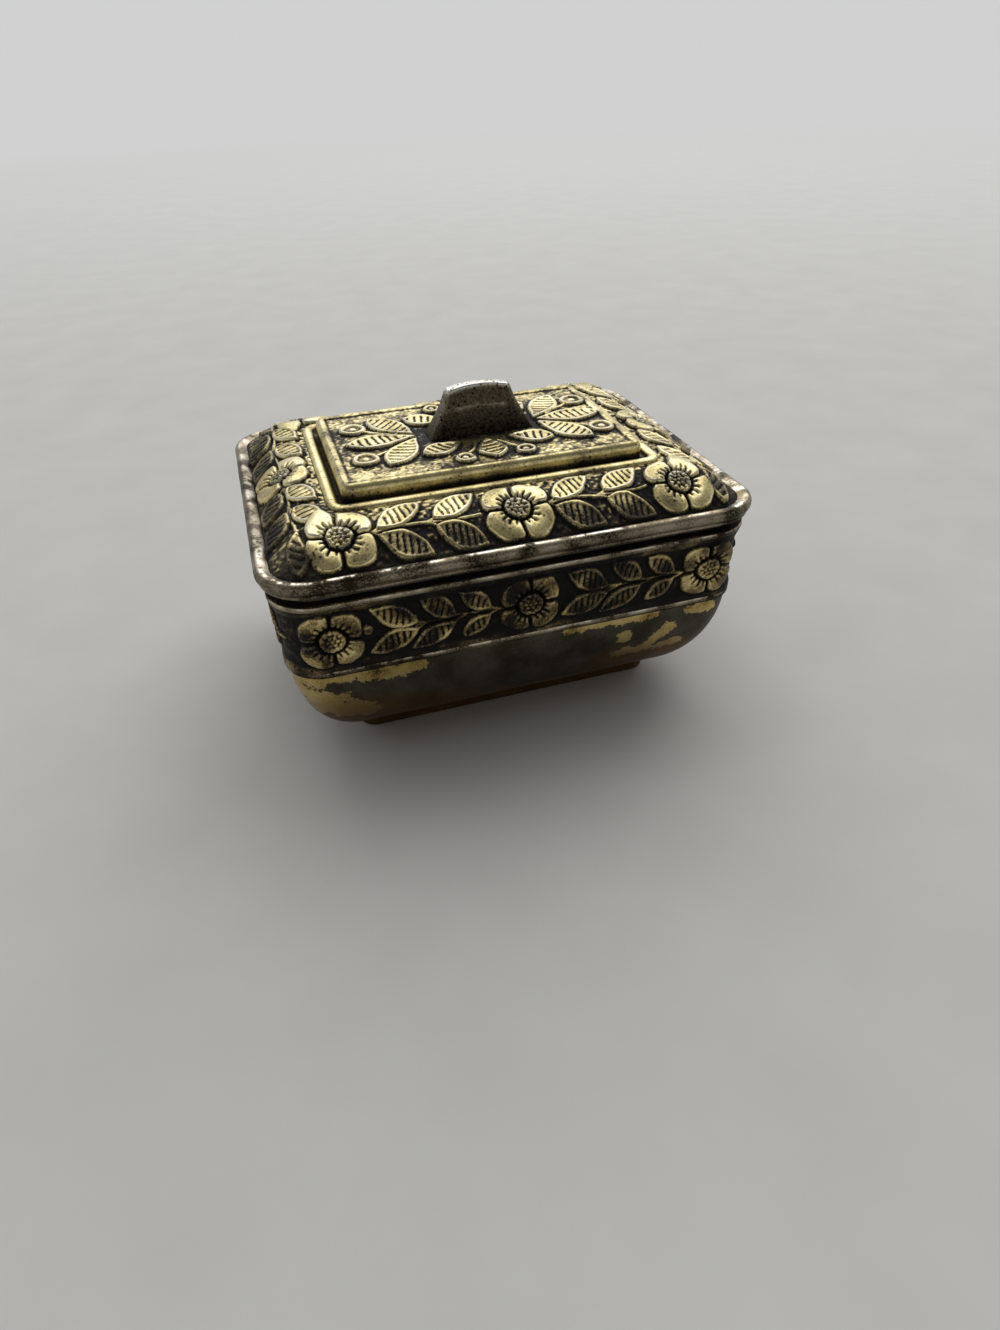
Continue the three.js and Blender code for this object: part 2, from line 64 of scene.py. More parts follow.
def addNode(tree, kind, links=None, output=0, stops=(), **settings):  # gives one of its outputs
    node = tree.nodes.new("ShaderNode" + kind)
    for label, value in settings.items():
        setattr(node, label, value)
    feed(node, links or {})
    for place, (position, hexColour) in enumerate(stops):
        ramp = node.color_ramp.elements
        stop = ramp[place] if place < len(ramp) else ramp.new(position)
        stop.position = position
        stop.color = linear(hexColour)
    return node.outputs[output]


def ownNode(tree, kind):  # a node that the tree came with
    return next(node for node in tree.nodes if node.type == kind)


def newMaterial(name, *labels):
    # with it, what adds its nodes, its shader, the piece's own coordinates and its painted values
    material = bpy.data.materials.new(name)
    material.use_nodes = True
    add = functools.partial(addNode, material.node_tree)
    shader = ownNode(material.node_tree, "BSDF_PRINCIPLED")
    place = add("TexCoord", output="Object")
    painted = [add("Attribute", output="Fac", attribute_name=label) for label in labels]
    return material, add, shader, place, *painted


def boxOf(node):  # a CAD node's lowest and highest corners, in mm
    low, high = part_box(node)
    return np.array(low) / mm, np.array(high) / mm


def footprint(node, corner):  # its outline from above: length, width, corner radius
    low, high = boxOf(node)
    return np.array([high[0] - low[0], high[1] - low[1], corner])


def grown(shape, offset):  # an outline set outwards, or inwards if the offset is negative
    return np.asarray(shape, float) + np.multiply.outer(offset, np.array([2.0, 2.0, 1.0]))


def blended(first, second, share):  # part of the way from one to the other
    first = np.asarray(first, float)
    return first + np.multiply.outer(share, np.asarray(second, float) - first)


def smoothStep(low, high, value):
    share = np.clip((value - low) / (high - low), 0, 1)
    return share * share * (3 - 2 * share)


def bell(away, width):  # 1 on a line, fading to either side of it
    return np.exp(-(away / width) ** 2)


def dome(away):  # a half-round rise: 1 in the middle, 0 from 1 outwards
    return np.sqrt(np.clip(1 - away ** 2, 0, 1))


def rounded(inside, width):  # rises from 0 at an edge to 1 that far inside it
    return dome(1 - np.clip(inside / width, 0, 1))


lattice = np.random.default_rng(11).random((48, 48, 48))
latticeStart = 17.3  # off the origin, where grains of every size would meet


def grain(points, size):  # smooth random values from -1 to 1, about one bump for each size
    place = np.asarray(points, float) / size + latticeStart
    cell = np.floor(place).astype(int)
    part = place - cell
    part = part * part * (3 - 2 * part)
    total = np.zeros(points.shape[:-1])
    for corner in np.ndindex(2, 2, 2):
        weight = np.prod(np.where(corner, part, 1 - part), axis=-1)
        index = (cell + np.array(corner)) % len(lattice)
        total += weight * lattice[index[..., 0], index[..., 1], index[..., 2]]
    return 2 * total - 1


def mottle(points, layers):  # layers of grain: how strong, and the size of a bump
    return sum(strength * grain(points, size) for strength, size in layers)


def softened(field, reach, ring):  # mean of the neighbours within reach; a ring's columns run on round it
    for axis in (0, 1):
        pad = [(0, 0), (0, 0)]
        pad[axis] = (reach, reach)
        wide = np.pad(field, pad, mode="wrap" if ring and axis == 1 else "edge")
        size = field.shape[axis]
        spans = [np.take(wide, range(shift, shift + size), axis) for shift in range(2 * reach + 1)]
        field = np.mean(spans, axis=0)
    return field


def insetFrom(points, shape):  # how far inside a rounded outline each point lies
    beyond = np.abs(points[..., :2]) - (np.asarray(shape[:2]) / 2 - shape[2])
    outside = np.linalg.norm(np.maximum(beyond, 0), axis=-1)
    return shape[2] - outside - np.minimum(beyond.max(axis=-1), 0)


def awayFrom(points, start, end):  # distance from a straight line between two places
    start = np.array(start, float)
    run = np.array(end, float) - start
    share = np.clip((points - start) @ run / (run @ run), 0, 1)
    return np.linalg.norm(points - start - share[..., None] * run, axis=-1)


def placesOf(piece):  # its vertices, in mm
    flat = np.empty(len(piece.data.vertices) * 3, np.float32)
    piece.data.vertices.foreach_get("co", flat)
    return flat.reshape(-1, 3) / mm


def paint(piece, label, values):  # a number for each vertex, for the piece's material to read
    layer = piece.data.attributes.new(label, "FLOAT", "POINT")
    layer.data.foreach_set("value", np.broadcast_to(values, len(piece.data.vertices)).astype(np.float32))


def selectOnly(piece):  # the piece that the next operators act on
    bpy.ops.object.select_all(action="DESELECT")
    piece.select_set(True)
    bpy.context.view_layer.objects.active = piece


def named(name):  # the piece in hand gets its name
    piece = bpy.context.object
    piece.name = name
    piece.data.name = name
    return piece


def startPiece(name, addPrimitive, **sizes):  # a new primitive, selected by itself
    bpy.ops.object.select_all(action="DESELECT")
    addPrimitive(**sizes)
    return named(name)


def keepPiece(piece, body, material, node, smoothAngle):  # shaded, dressed and given its place
    selectOnly(piece)
    bpy.ops.object.shade_smooth_by_angle(angle=math.radians(smoothAngle))
    piece.data.materials.clear()
    piece.data.materials.append(material)
    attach(piece, body)
    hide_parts(node)
    return piece


# Rings of points round a rounded rectangle, anticlockwise from above: front, right, back and left side

def ringPlan(longSpans, shortSpans, cornerSpans):
    sides, shares, corners = [], [], []
    for side in range(4):
        spans = shortSpans if side % 2 else longSpans
        sides += [side] * (spans + cornerSpans)
        shares += [2 * step / spans - 1 for step in range(spans)]
        shares += [step / cornerSpans for step in range(cornerSpans)]
        corners += [False] * spans + [True] * cornerSpans
    return np.array(sides), np.array(shares), np.array(corners)


def ringPoints(plan, shapes, heights):  # a row of points for each outline and height, and the ways out
    sides, shares, corners = plan
    length, width, radius = [shapes[:, [column]] for column in range(3)]
    isLong = sides % 2 == 0
    straight = np.where(isLong, length, width) / 2 - radius
    depth = np.where(isLong, width, length) / 2 - radius
    angle = np.where(corners, shares, 0) * math.pi / 2
    turn = sides * math.pi / 2
    along = np.where(corners, 1, shares) * straight + radius * np.sin(angle)
    out = depth + radius * np.cos(angle)
    x = along * np.cos(turn) + out * np.sin(turn)
    y = along * np.sin(turn) - out * np.cos(turn)
    z = np.broadcast_to(np.asarray(heights, float)[:, None], x.shape)
    ways = np.stack([np.sin(angle + turn), -np.cos(angle + turn), np.zeros(len(sides))], axis=-1)
    return np.stack([x, y, z], axis=-1), np.broadcast_to(ways, x.shape + (3,))


def alongSide(plan, shapes, side):  # distance from a side's middle, running on round both its corners
    sides, shares, corners = plan
    length, width, radius = [shapes[:, [column]] for column in range(3)]
    straight = (width if side % 2 else length) / 2 - radius
    quarter = radius * math.pi / 2
    after = (sides == side) & corners
    before = (sides == (side - 1) % 4) & corners
    along = np.where(corners, 0, shares) * straight
    along = np.where(after, straight + quarter * shares, along)
    along = np.where(before, -straight - quarter * (1 - shares), along)
    return along, (sides == side) | before


def gridPiece(name, points, fields, ring=True, merge=0.001):
    # a flat grid laid over the piece: rows go up, on a ring the columns go right round, and points that lie
    # closer than merge are joined
    rows, columns = points.shape[:2]
    spans = columns if ring else columns - 1
    piece = startPiece(
        name, bpy.ops.mesh.primitive_grid_add, x_subdivisions=spans, y_subdivisions=rows - 1, size=1)
    flat = placesOf(piece) * mm + 0.5
    column = np.rint(flat[:, 0] * spans).astype(int) % columns
    row = np.rint(flat[:, 1] * (rows - 1)).astype(int)
    piece.data.vertices.foreach_set("co", (points[row, column] * mm).astype(np.float32).ravel())
    for label, field in fields.items():
        paint(piece, label, field[row, column])
    piece.data.update()
    bpy.ops.object.mode_set(mode="EDIT")
    bpy.ops.mesh.select_all(action="SELECT")
    bpy.ops.mesh.remove_doubles(threshold=merge * mm)
    if not ring:
        bpy.ops.mesh.dissolve_degenerate(threshold=merge / 2 * mm)
    bpy.ops.mesh.select_all(action="SELECT")
    bpy.ops.mesh.fill_holes(sides=0)
    bpy.ops.object.mode_set(mode="OBJECT")
    return piece


def plainRows(plan, shapes, heights, gilt):  # rings without relief: their points, gilding and wear
    points = ringPoints(plan, shapes, heights)[0]
    return points, np.broadcast_to(np.reshape(gilt, (-1, 1)), points.shape[:2]), np.zeros(points.shape[:2])


def reliefPiece(name, parts):  # rows of points, gilding and wear, one set above the other
    points, gilt, worn = [np.concatenate(rows) for rows in zip(*parts)]
    return gridPiece(name, points, {"gilt": gilt, "worn": worn})


hoopLook = {"cornerSteps": 14, "sideCuts": 60}


def roundedLoop(name, shape, height):  # bare edges: a plane with rounded corners, face taken out
    piece = startPiece(name, bpy.ops.mesh.primitive_plane_add, size=1, location=(0, 0, height * mm))
    length, width, corner = [size * mm for size in shape]
    bpy.ops.transform.resize(value=(length, width, 1))
    bpy.ops.object.transform_apply(location=True, rotation=True, scale=True)
    bpy.ops.object.mode_set(mode="EDIT")
    bpy.ops.mesh.select_all(action="SELECT")
    bpy.ops.mesh.bevel(
        offset=corner, offset_type="OFFSET", segments=hoopLook["cornerSteps"], affect="VERTICES")
    bpy.ops.mesh.delete(type="ONLY_FACE")
    bpy.ops.mesh.select_mode(type="EDGE")
    loop = bmesh.from_edit_mesh(piece.data)
    for edge in loop.edges:
        edge.select_set(bool(edge.calc_length() > 2 * corner))
    bmesh.update_edit_mesh(piece.data)
    bpy.ops.mesh.subdivide(number_cuts=hoopLook["sideCuts"])
    bpy.ops.mesh.select_mode(type="VERT")
    bpy.ops.object.mode_set(mode="OBJECT")


def sweep(name, node, corner, profile):
    # a closed profile of (out, up) points carried round a CAD node's outline, as a curve with a bevel object
    roundedLoop(name, footprint(node, corner), boxOf(node)[0][2])
    bpy.ops.object.convert(target="CURVE")
    path = bpy.context.object
    section = startPiece(
        name + "_section", bpy.ops.mesh.primitive_circle_add, vertices=len(profile), radius=mm)
    for vertex, (out, up) in zip(section.data.vertices, profile):
        vertex.co = (out * mm, up * mm, 0)
    bpy.ops.object.convert(target="CURVE")
    section = bpy.context.object
    path.data.dimensions = "3D"
    path.data.twist_mode = "Z_UP"
    path.data.bevel_mode = "OBJECT"
    path.data.bevel_object = section
    selectOnly(path)
    bpy.ops.object.convert(target="MESH")
    bpy.data.objects.remove(section)
    return named(name)


def arc(middle, radius, start, end, steps):  # points on an arc, angles in degrees
    angles = np.radians(np.linspace(start, end, steps + 1))
    return [(middle[0] + radius * math.cos(angle), middle[1] + radius * math.sin(angle)) for angle in angles]


def dent(piece, look):  # shallow knocks, pushed in and out
    clouds = bpy.data.textures.new(piece.name + "_knocks", "CLOUDS")
    clouds.noise_scale = look["knockSize"] * mm
    clouds.noise_depth = 1
    selectOnly(piece)
    push = piece.modifiers.new("knocks", "DISPLACE")
    push.texture = clouds
    push.texture_coords = "LOCAL"
    push.strength = look["knockDepth"] * mm
    push.mid_level = 0.5
    bpy.ops.object.modifier_apply(modifier=push.name)
    return piece


# Materials

# Gilded white metal, die-stamped and darkened: bright gilt on the high forms, near-black wax in the hollows,
# white metal where hands have rubbed the gilt off the edges
def gildedStampedMetal(name, look):
    material, add, shader, place, gilt, worn = newMaterial(name, "gilt", "worn")
    # grit 0.3 mm across, drawn that coarse so that it shows, and stains 5 mm across
    grit = add("TexNoise", {"Vector": place, "Scale": 1 / (0.3 * mm), "Detail": 3.0})
    stain = add("TexNoise", {"Vector": place, "Scale": 1 / (5 * mm), "Detail": 4.0})
    # pin-pricks 0.4 mm across and 1.1 mm apart, where the gilding has flaked
    prick = add("TexVoronoi", {"Vector": place, "Scale": 1 / (1.1 * mm), "Randomness": 1.0})
    hole = add("MapRange", {
        "Value": prick, "From Min": 0.16, "From Max": 0.26, "To Min": look["pits"], "To Max": 0.0})
    spread = add("MapRange", {
        "Value": stain, "From Min": 0.4, "From Max": 0.68, "To Max": look["stain"]})
    speck = add("Math", {0: grit, 1: 0.5}, operation="SUBTRACT")
    ragged = add("Math", {0: speck, 1: look["grit"], 2: gilt}, operation="MULTIPLY_ADD")
    loss = add("Math", {0: spread, 1: hole}, operation="ADD")
    level = add("Math", {0: ragged, 1: loss}, operation="SUBTRACT", use_clamp=True)
    waxed = add("ValToRGB", {"Fac": level}, stops=look["stops"])
    rubbed = add("Math", {0: speck, 1: 0.8, 2: worn}, operation="MULTIPLY_ADD")
    bare = add("MapRange", {"Value": rubbed, "From Min": 0.45, "From Max": 0.75})
    colour = add("Mix", {0: bare, 6: waxed, 7: linear(look["bare"])}, output=2, data_type="RGBA")
    metal = add("MapRange", {
        "Value": level, "From Min": 0.15, "From Max": 0.5, "To Min": 0.25, "To Max": 1.0})
    rough = add("MapRange", {
        "Value": level, "From Min": 0.1, "From Max": 0.8, "To Min": 0.62, "To Max": look["gloss"]})
    bump = add("Bump", {"Strength": 0.35, "Distance": 0.03 * mm, "Height": grit})
    feed(shader, {
        "Base Color": colour, "Metallic": metal, "Roughness": rough, "Normal": bump,
        "Specular IOR Level": 0.2})
    return material


# Nickel-plated white metal, drawn and handled: satin grey with brown tarnish, scuffed bright and a little
# gold where it is rubbed, pin-prick pits
def wornPlatedWire(name, look):
    material, add, shader, place, worn = newMaterial(name, "worn")
    # scuffs 3 mm long with broken edges, stains 6 mm, pits 0.25 mm
    rub = add("TexNoise", {"Vector": place, "Scale": 1 / (3 * mm), "Detail": 6.0, "Roughness": 0.65})
    stain = add("TexNoise", {"Vector": place, "Scale": 1 / (6 * mm), "Detail": 6.0})
    pit = add("TexNoise", {"Vector": place, "Scale": 1 / (0.25 * mm), "Detail": 2.0})
    bright = add("MapRange", {"Value": rub, "From Min": 0.45, "From Max": 0.6})
    scuff = add("Math", {0: bright, 1: worn}, operation="MULTIPLY")
    clouds = add("Math", {0: stain, 1: 0.6, 2: scuff}, operation="MULTIPLY_ADD")
    level = add("Math", {0: pit, 1: 0.3, 2: clouds}, operation="MULTIPLY_ADD")
    metal = add("ValToRGB", {"Fac": level}, stops=look["stops"])
    patch = add("MapRange", {
        "Value": stain, "From Min": 0.47, "From Max": 0.56, "To Max": look["goldLeft"]})
    gilded = add("Math", {0: patch, 1: worn}, operation="MULTIPLY")
    colour = add("Mix", {0: gilded, 6: metal, 7: linear(look["gold"])}, output=2, data_type="RGBA")
    rough = add("MapRange", {
        "Value": level, "From Min": 0.3, "From Max": 1.0, "To Min": 0.5, "To Max": look["gloss"]})
    bump = add("Bump", {"Strength": 0.3, "Distance": 0.04 * mm, "Height": pit})
    feed(shader, {"Base Color": colour, "Metallic": 1.0, "Roughness": rough, "Normal": bump})
    return material


# Cast white metal, tarnished brown and pitted: dull dark faces, bright rubbed top edges
def pittedCastMetal(name, look):
    material, add, shader, place, worn = newMaterial(name, "worn")
    # pits up to 0.5 mm across, cloudy tarnish 3 mm across, grit 0.35 mm
    pits = add("TexVoronoi", {"Vector": place, "Scale": 1 / (0.75 * mm), "Randomness": 1.0})
    cloud = add("TexNoise", {"Vector": place, "Scale": 1 / (3 * mm), "Detail": 5.0})
    fine = add("TexNoise", {"Vector": place, "Scale": 1 / (0.35 * mm), "Detail": 3.0})
    hole = add("MapRange", {"Value": pits, "From Min": 0.16, "From Max": 0.34})
    patchy = add("MapRange", {"Value": cloud, "From Min": 0.47, "From Max": 0.64})
    sound = add("Math", {0: hole, 1: patchy}, operation="MAXIMUM")  # 0 in a pit, 1 off it
    tone = add("Math", {0: fine, 1: 0.5, 2: worn}, operation="MULTIPLY_ADD")
    level = add("Math", {0: tone, 1: sound}, operation="MULTIPLY")
    colour = add("ValToRGB", {"Fac": level}, stops=look["stops"])
    rough = add("MapRange", {
        "Value": level, "From Min": 0.2, "From Max": 0.9, "To Min": 0.55, "To Max": 0.28})
    bump = add("Bump", {"Strength": 0.5, "Distance": 0.06 * mm, "Height": sound})
    feed(shader, {"Base Color": colour, "Metallic": 1.0, "Roughness": rough, "Normal": bump})
    return material


# Spun white metal that has lost most of its gilding: grey and dull, with ragged flakes of gold left on it
def flakedGildedMetal(name, look):
    material, add, shader, place, gilt, tarnish = newMaterial(name, "gilt", "tarnish")
    # flakes 2.5 mm across with finely torn edges, stains 6 mm, pits 0.3 mm
    torn = add("TexNoise", {"Vector": place, "Scale": 1 / (2.5 * mm), "Detail": 7.0, "Roughness": 0.72})
    stain = add("TexNoise", {"Vector": place, "Scale": 1 / (6 * mm), "Detail": 4.0})
    pit = add("TexNoise", {"Vector": place, "Scale": 1 / (0.3 * mm), "Detail": 2.0})
    rise = add("Math", {0: gilt, 1: torn}, operation="ADD")
    flake = add("MapRange", {"Value": rise, "From Min": 0.98, "From Max": 1.0})
    stained = add("Math", {0: pit, 1: 0.35, 2: stain}, operation="MULTIPLY_ADD")
    grey = add("ValToRGB", {"Fac": stained}, stops=look["greys"])
    gold = add("ValToRGB", {"Fac": stained}, stops=look["golds"])
    metal = add("Mix", {0: flake, 6: grey, 7: gold}, output=2, data_type="RGBA")
    brown = add("Math", {0: tarnish, 1: stained}, operation="MULTIPLY", use_clamp=True)
    colour = add("Mix", {0: brown, 6: metal, 7: linear(look["tarnish"])}, output=2, data_type="RGBA")
    rough = add("MapRange", {"Value": flake, "To Min": 0.5, "To Max": 0.33})
    edge = add("Math", {0: pit, 1: 0.3, 2: flake}, operation="MULTIPLY_ADD")
    bump = add("Bump", {"Strength": 0.4, "Distance": 0.05 * mm, "Height": edge})
    feed(shader, {"Base Color": colour, "Metallic": 1.0, "Roughness": rough, "Normal": bump})
    return material


# Cotton velvet, woven and cut: a short pile that goes pale where it leans, with a soft sheen
def cutVelvet(name, look):
    material, add, shader, place = newMaterial(name)
    # leaning pile in swathes 5 mm across, tufts 0.35 mm, drawn coarser than real so that they show
    lean = add("TexNoise", {"Vector": place, "Scale": 1 / (5 * mm), "Detail": 3.0})
    tuft = add("TexNoise", {"Vector": place, "Scale": 1 / (0.35 * mm), "Detail": 2.0})
    tone = add("Math", {0: tuft, 1: 0.6, 2: lean}, operation="MULTIPLY_ADD")
    colour = add("ValToRGB", {"Fac": tone}, stops=look["stops"])
    bump = add("Bump", {"Strength": 0.6, "Distance": 0.15 * mm, "Height": tuft})
    feed(shader, {
        "Base Color": colour, "Roughness": 0.95, "Normal": bump,
        "Sheen Weight": 0.5, "Sheen Roughness": 0.4, "Sheen Tint": linear(look["sheen"])})
    return material


lidGilt = gildedStampedMetal("gilded_white_metal_stamped", {
    "grit": 0.6, "stain": 0.34, "pits": 0.25, "gloss": 0.3, "bare": "#cac6bb",
    "stops": [(0.0, "#110e0a"), (0.3, "#453c2d"), (0.55, "#948763"), (0.8, "#d2c288"), (1.0, "#ebe0b9")]})
# the band's darker copy of the gilding: heavier tarnish, and painted shade over the whole band
bandGiltShaded = gildedStampedMetal("gilded_white_metal_stamped_dark_shaded", {
    "grit": 0.7, "stain": 0.6, "pits": 0.2, "gloss": 0.34, "bare": "#8f887a",
    "stops": [(0.0, "#0b0907"), (0.3, "#2c2418"), (0.6, "#6f6042"), (0.85, "#bba872"), (1.0, "#d8cb9c")]})
rimPlate = wornPlatedWire("nickel_plated_wire_worn", {
    "gold": "#b39a62", "goldLeft": 0.4, "gloss": 0.26,
    "stops": [(0.36, "#2c2418"), (0.47, "#857a67"), (0.6, "#aea390"), (1.0, "#f2eee4")]})
collarPlate = wornPlatedWire("nickel_plated_strip_drawn", {
    "gold": "#a88f56", "goldLeft": 0.2, "gloss": 0.3,
    "stops": [(0.25, "#3a342c"), (0.42, "#6f6a62"), (0.6, "#99948b"), (1.0, "#b9b5ad")]})
handleMetal = pittedCastMetal("white_metal_cast_pitted", {
    "stops": [(0.0, "#0f0b08"), (0.25, "#51483a"), (0.5, "#8a816e"), (0.8, "#b9b4a8"), (1.0, "#e2dfd8")]})
bowlMetal = flakedGildedMetal("white_metal_spun_flaked_gilding", {
    "tarnish": "#6e4c1e",
    "greys": [(0.3, "#221e17"), (0.6, "#3f3a30"), (0.9, "#5c574e")],
    "golds": [(0.46, "#4d3c1d"), (0.6, "#a48e55"), (0.75, "#c2ab70"), (0.95, "#d2c08a")]})
liningVelvet = cutVelvet("cotton_velvet_cut", {
    "sheen": "#e9d9ac",
    "stops": [(0.35, "#4d3b1c"), (0.75, "#7d6433"), (1.1, "#a3874f")]})
print("materials made")


# Ornament in low relief; every form gives heights in mm at places measured from its own start

reliefLook = {
    "petals": 4, "notch": 0.36, "petalRise": 0.9, "petalEdge": 0.8, "petalDip": 0.45, "petalCrest": 0.9,
    "lipRise": 0.1, "lipInset": 0.45, "lipWidth": 0.2, "cleftDepth": 0.8, "cleftWidth": 0.28,
    "creases": 20, "creaseCut": (0.1, 0.85), "creaseReach": (0.665, 1.9), "creaseFade": 0.7,
    "creaseDepth": 0.3, "creaseFoot": 0.2,
    "moatDepth": 0.85, "moatOut": 0.1, "moatWidth": 0.24,  # the sunk ring round a flower's disc
    "discRadius": 2.05, "discRise": 0.54, "discEdge": 0.3,
    "discRim": 0.34, "rimInset": 0.28, "rimWidth": 0.17,
    "pipRise": 0.32, "pipRadius": 0.36, "pipRings": [(0, 1), (0.74, 6), (1.4, 11)],  # how far out, how many
    "leafRise": 0.64, "leafHollow": 0.3, "leafRim": 0.45, "leafFull": 0.8, "sunkBetween": (1.25, 2.2),
    "hatchRise": 0.2, "hatchCut": (-0.95, -0.3), "seedRadius": 0.6, "seedRise": 1.6,
    "stemRise": 0.38, "stemWidth": 0.62,
    "stray": [(0.24, 2.6), (0.09, 0.9)], "strayApart": 60,  # how far the hand strays, over what length
    "covered": (0.05, 0.3),  # between these heights a form covers the punched ground
}
wearAndShadeLook = {
    "near": 3, "far": 8, "hollowDepth": 0.14, "shadeDepth": 0.3, "giltBetween": (0.12, 0.42),
    "hollowWax": 0.45, "paintedShade": 0.22, "crestGilt": 0.16, "crestWear": 0.62, "wearBetween": (0.3, 0.6),
}


def flower(x, y, radius):
    look = reliefLook
    disc = look["discRadius"]
    reach = np.hypot(x, y)
    angle = np.arctan2(y, x)
    wave = np.abs(np.sin(look["petals"] / 2 * angle))  # 0 in the clefts, 1 down the middle of a petal
    inside = radius * (1 - look["notch"] * (1 - np.sqrt(wave))) - reach
    across = np.clip((reach - disc) / (radius - disc), 0, 1)
    petal = look["petalRise"] * rounded(inside, look["petalEdge"])
    petal *= 1 - look["petalDip"] * (1 - np.sin(math.pi * across ** look["petalCrest"]))
    petal += look["lipRise"] * bell(inside - look["lipInset"], look["lipWidth"])
    petal *= 1 - look["cleftDepth"] * bell(np.minimum(np.abs(x), np.abs(y)), look["cleftWidth"])
    creaseEnd = disc + blended(*look["creaseReach"], wave)
    crease = smoothStep(*look["creaseCut"], np.cos(look["creases"] * angle))
    crease *= smoothStep(creaseEnd, creaseEnd - look["creaseFade"], reach)
    petal -= look["creaseDepth"] * crease * smoothStep(0, look["creaseFoot"], petal)
    petal *= 1 - look["moatDepth"] * bell(reach - disc - look["moatOut"], look["moatWidth"])
    middle = look["discRise"] + look["discRim"] * bell(reach - disc + look["rimInset"], look["rimWidth"])
    for away, count in look["pipRings"]:
        for turn in np.arange(count) * 2 * math.pi / count:
            pip = np.hypot(x - away * math.cos(turn), y - away * math.sin(turn)) / look["pipRadius"]
            middle = np.maximum(middle, look["discRise"] + look["pipRise"] * dome(pip))
    middle *= rounded(disc - reach, look["discEdge"])
    return np.where(reach < disc, middle, np.where(inside > 0, petal, 0))


def hollowForm(inside, hatch):  # a rounded rim round a sunk, hatched middle
    look = reliefLook
    rim = look["leafRise"] * rounded(inside, look["leafRim"])
    middle = look["leafHollow"] + look["hatchRise"] * hatch
    sunk = smoothStep(*look["sunkBetween"], inside / look["leafRim"])
    return np.where(inside > 0, rim + (middle - rim) * sunk, 0)


def leaf(x, y, length, width, degrees, slant, pitch, belly=0.92):  # past 1, fullest beyond its middle
    turn = math.radians(degrees)
    along = x * math.cos(turn) + y * math.sin(turn)
    aside = y * math.cos(turn) - x * math.sin(turn)
    share = np.clip(along / length, 0, 1)
    half = width / 2 * np.sin(math.pi * share ** belly) ** reliefLook["leafFull"]
    tilt = math.radians(slant)
    phase = (along * math.cos(tilt) + aside * math.sin(tilt)) / pitch
    hatch = smoothStep(*reliefLook["hatchCut"], np.cos(2 * math.pi * phase))
    return hollowForm(half - np.abs(aside), hatch)


def bud(x, y, radius):
    reach = np.hypot(x, y)
    return hollowForm(radius - reach, reliefLook["seedRise"] * dome(reach / reliefLook["seedRadius"]))


def stem(x, y, start, end, bow=0.0):  # a fine raised line from one point to another, bowed to its left
    run = np.subtract(end, start)
    length = math.hypot(*run)
    along = ((x - start[0]) * run[0] + (y - start[1]) * run[1]) / length
    aside = ((y - start[1]) * run[0] - (x - start[0]) * run[1]) / length
    share = np.clip(along / length, 0, 1)
    away = np.hypot(along - share * length, aside - bow * np.sin(math.pi * share))
    return reliefLook["stemRise"] * dome(2 * away / reliefLook["stemWidth"])


def handCut(points):  # how far the chaser's hand strayed from the drawing, along and up
    return [mottle(points + shift, reliefLook["stray"]) for shift in (0, reliefLook["strayApart"])]


def punched(relief, ground, fade, covered=reliefLook["covered"]):  # ground shows where no form covers it
    return relief + ground * (1 - smoothStep(*covered, relief)) * fade


def plainEdges(shares, width):  # 0 at a strip's two edges, 1 inside them
    return (smoothStep(0, width, shares) * smoothStep(1, 1 - width, shares))[:, None]


def eachSide(plan, shapes, ups, points):  # is it long, which columns are its own, and places along and up it
    strayAlong, strayUp = handCut(points)
    for side in range(4):
        along, reach = alongSide(plan, shapes, side)
        yield side % 2 == 0, reach, (along + strayAlong)[:, reach], (ups[:, None] + strayUp)[:, reach]


def surfaceWearAndShade(heights, ring, ground, level):
    # gilt stays on the high forms and wears through on their crests; dark stays in the hollows, and the
    # ground beside the forms is painted darker as shade
    look = wearAndShadeLook
    sunk = (softened(heights, look["near"], ring) - heights) / look["hollowDepth"]
    hollow = np.clip(sunk, 0, 1)
    crest = np.clip(-sunk, 0, 1)
    shade = np.clip((softened(heights, look["far"], ring) - heights) / look["shadeDepth"], 0, 1)
    gilt = ground + (level - ground) * smoothStep(*look["giltBetween"], heights)
    # dark wax in the hollows, and painted shade on the ground beside taller forms
    gilt = gilt - look["hollowWax"] * hollow - look["paintedShade"] * shade + look["crestGilt"] * crest
    worn = look["crestWear"] * crest * smoothStep(*look["wearBetween"], heights)
    return np.clip(gilt, 0, 1), np.clip(worn, 0, 1)


# Lid shell: slope with its flower border, frame moulding, groove and deck

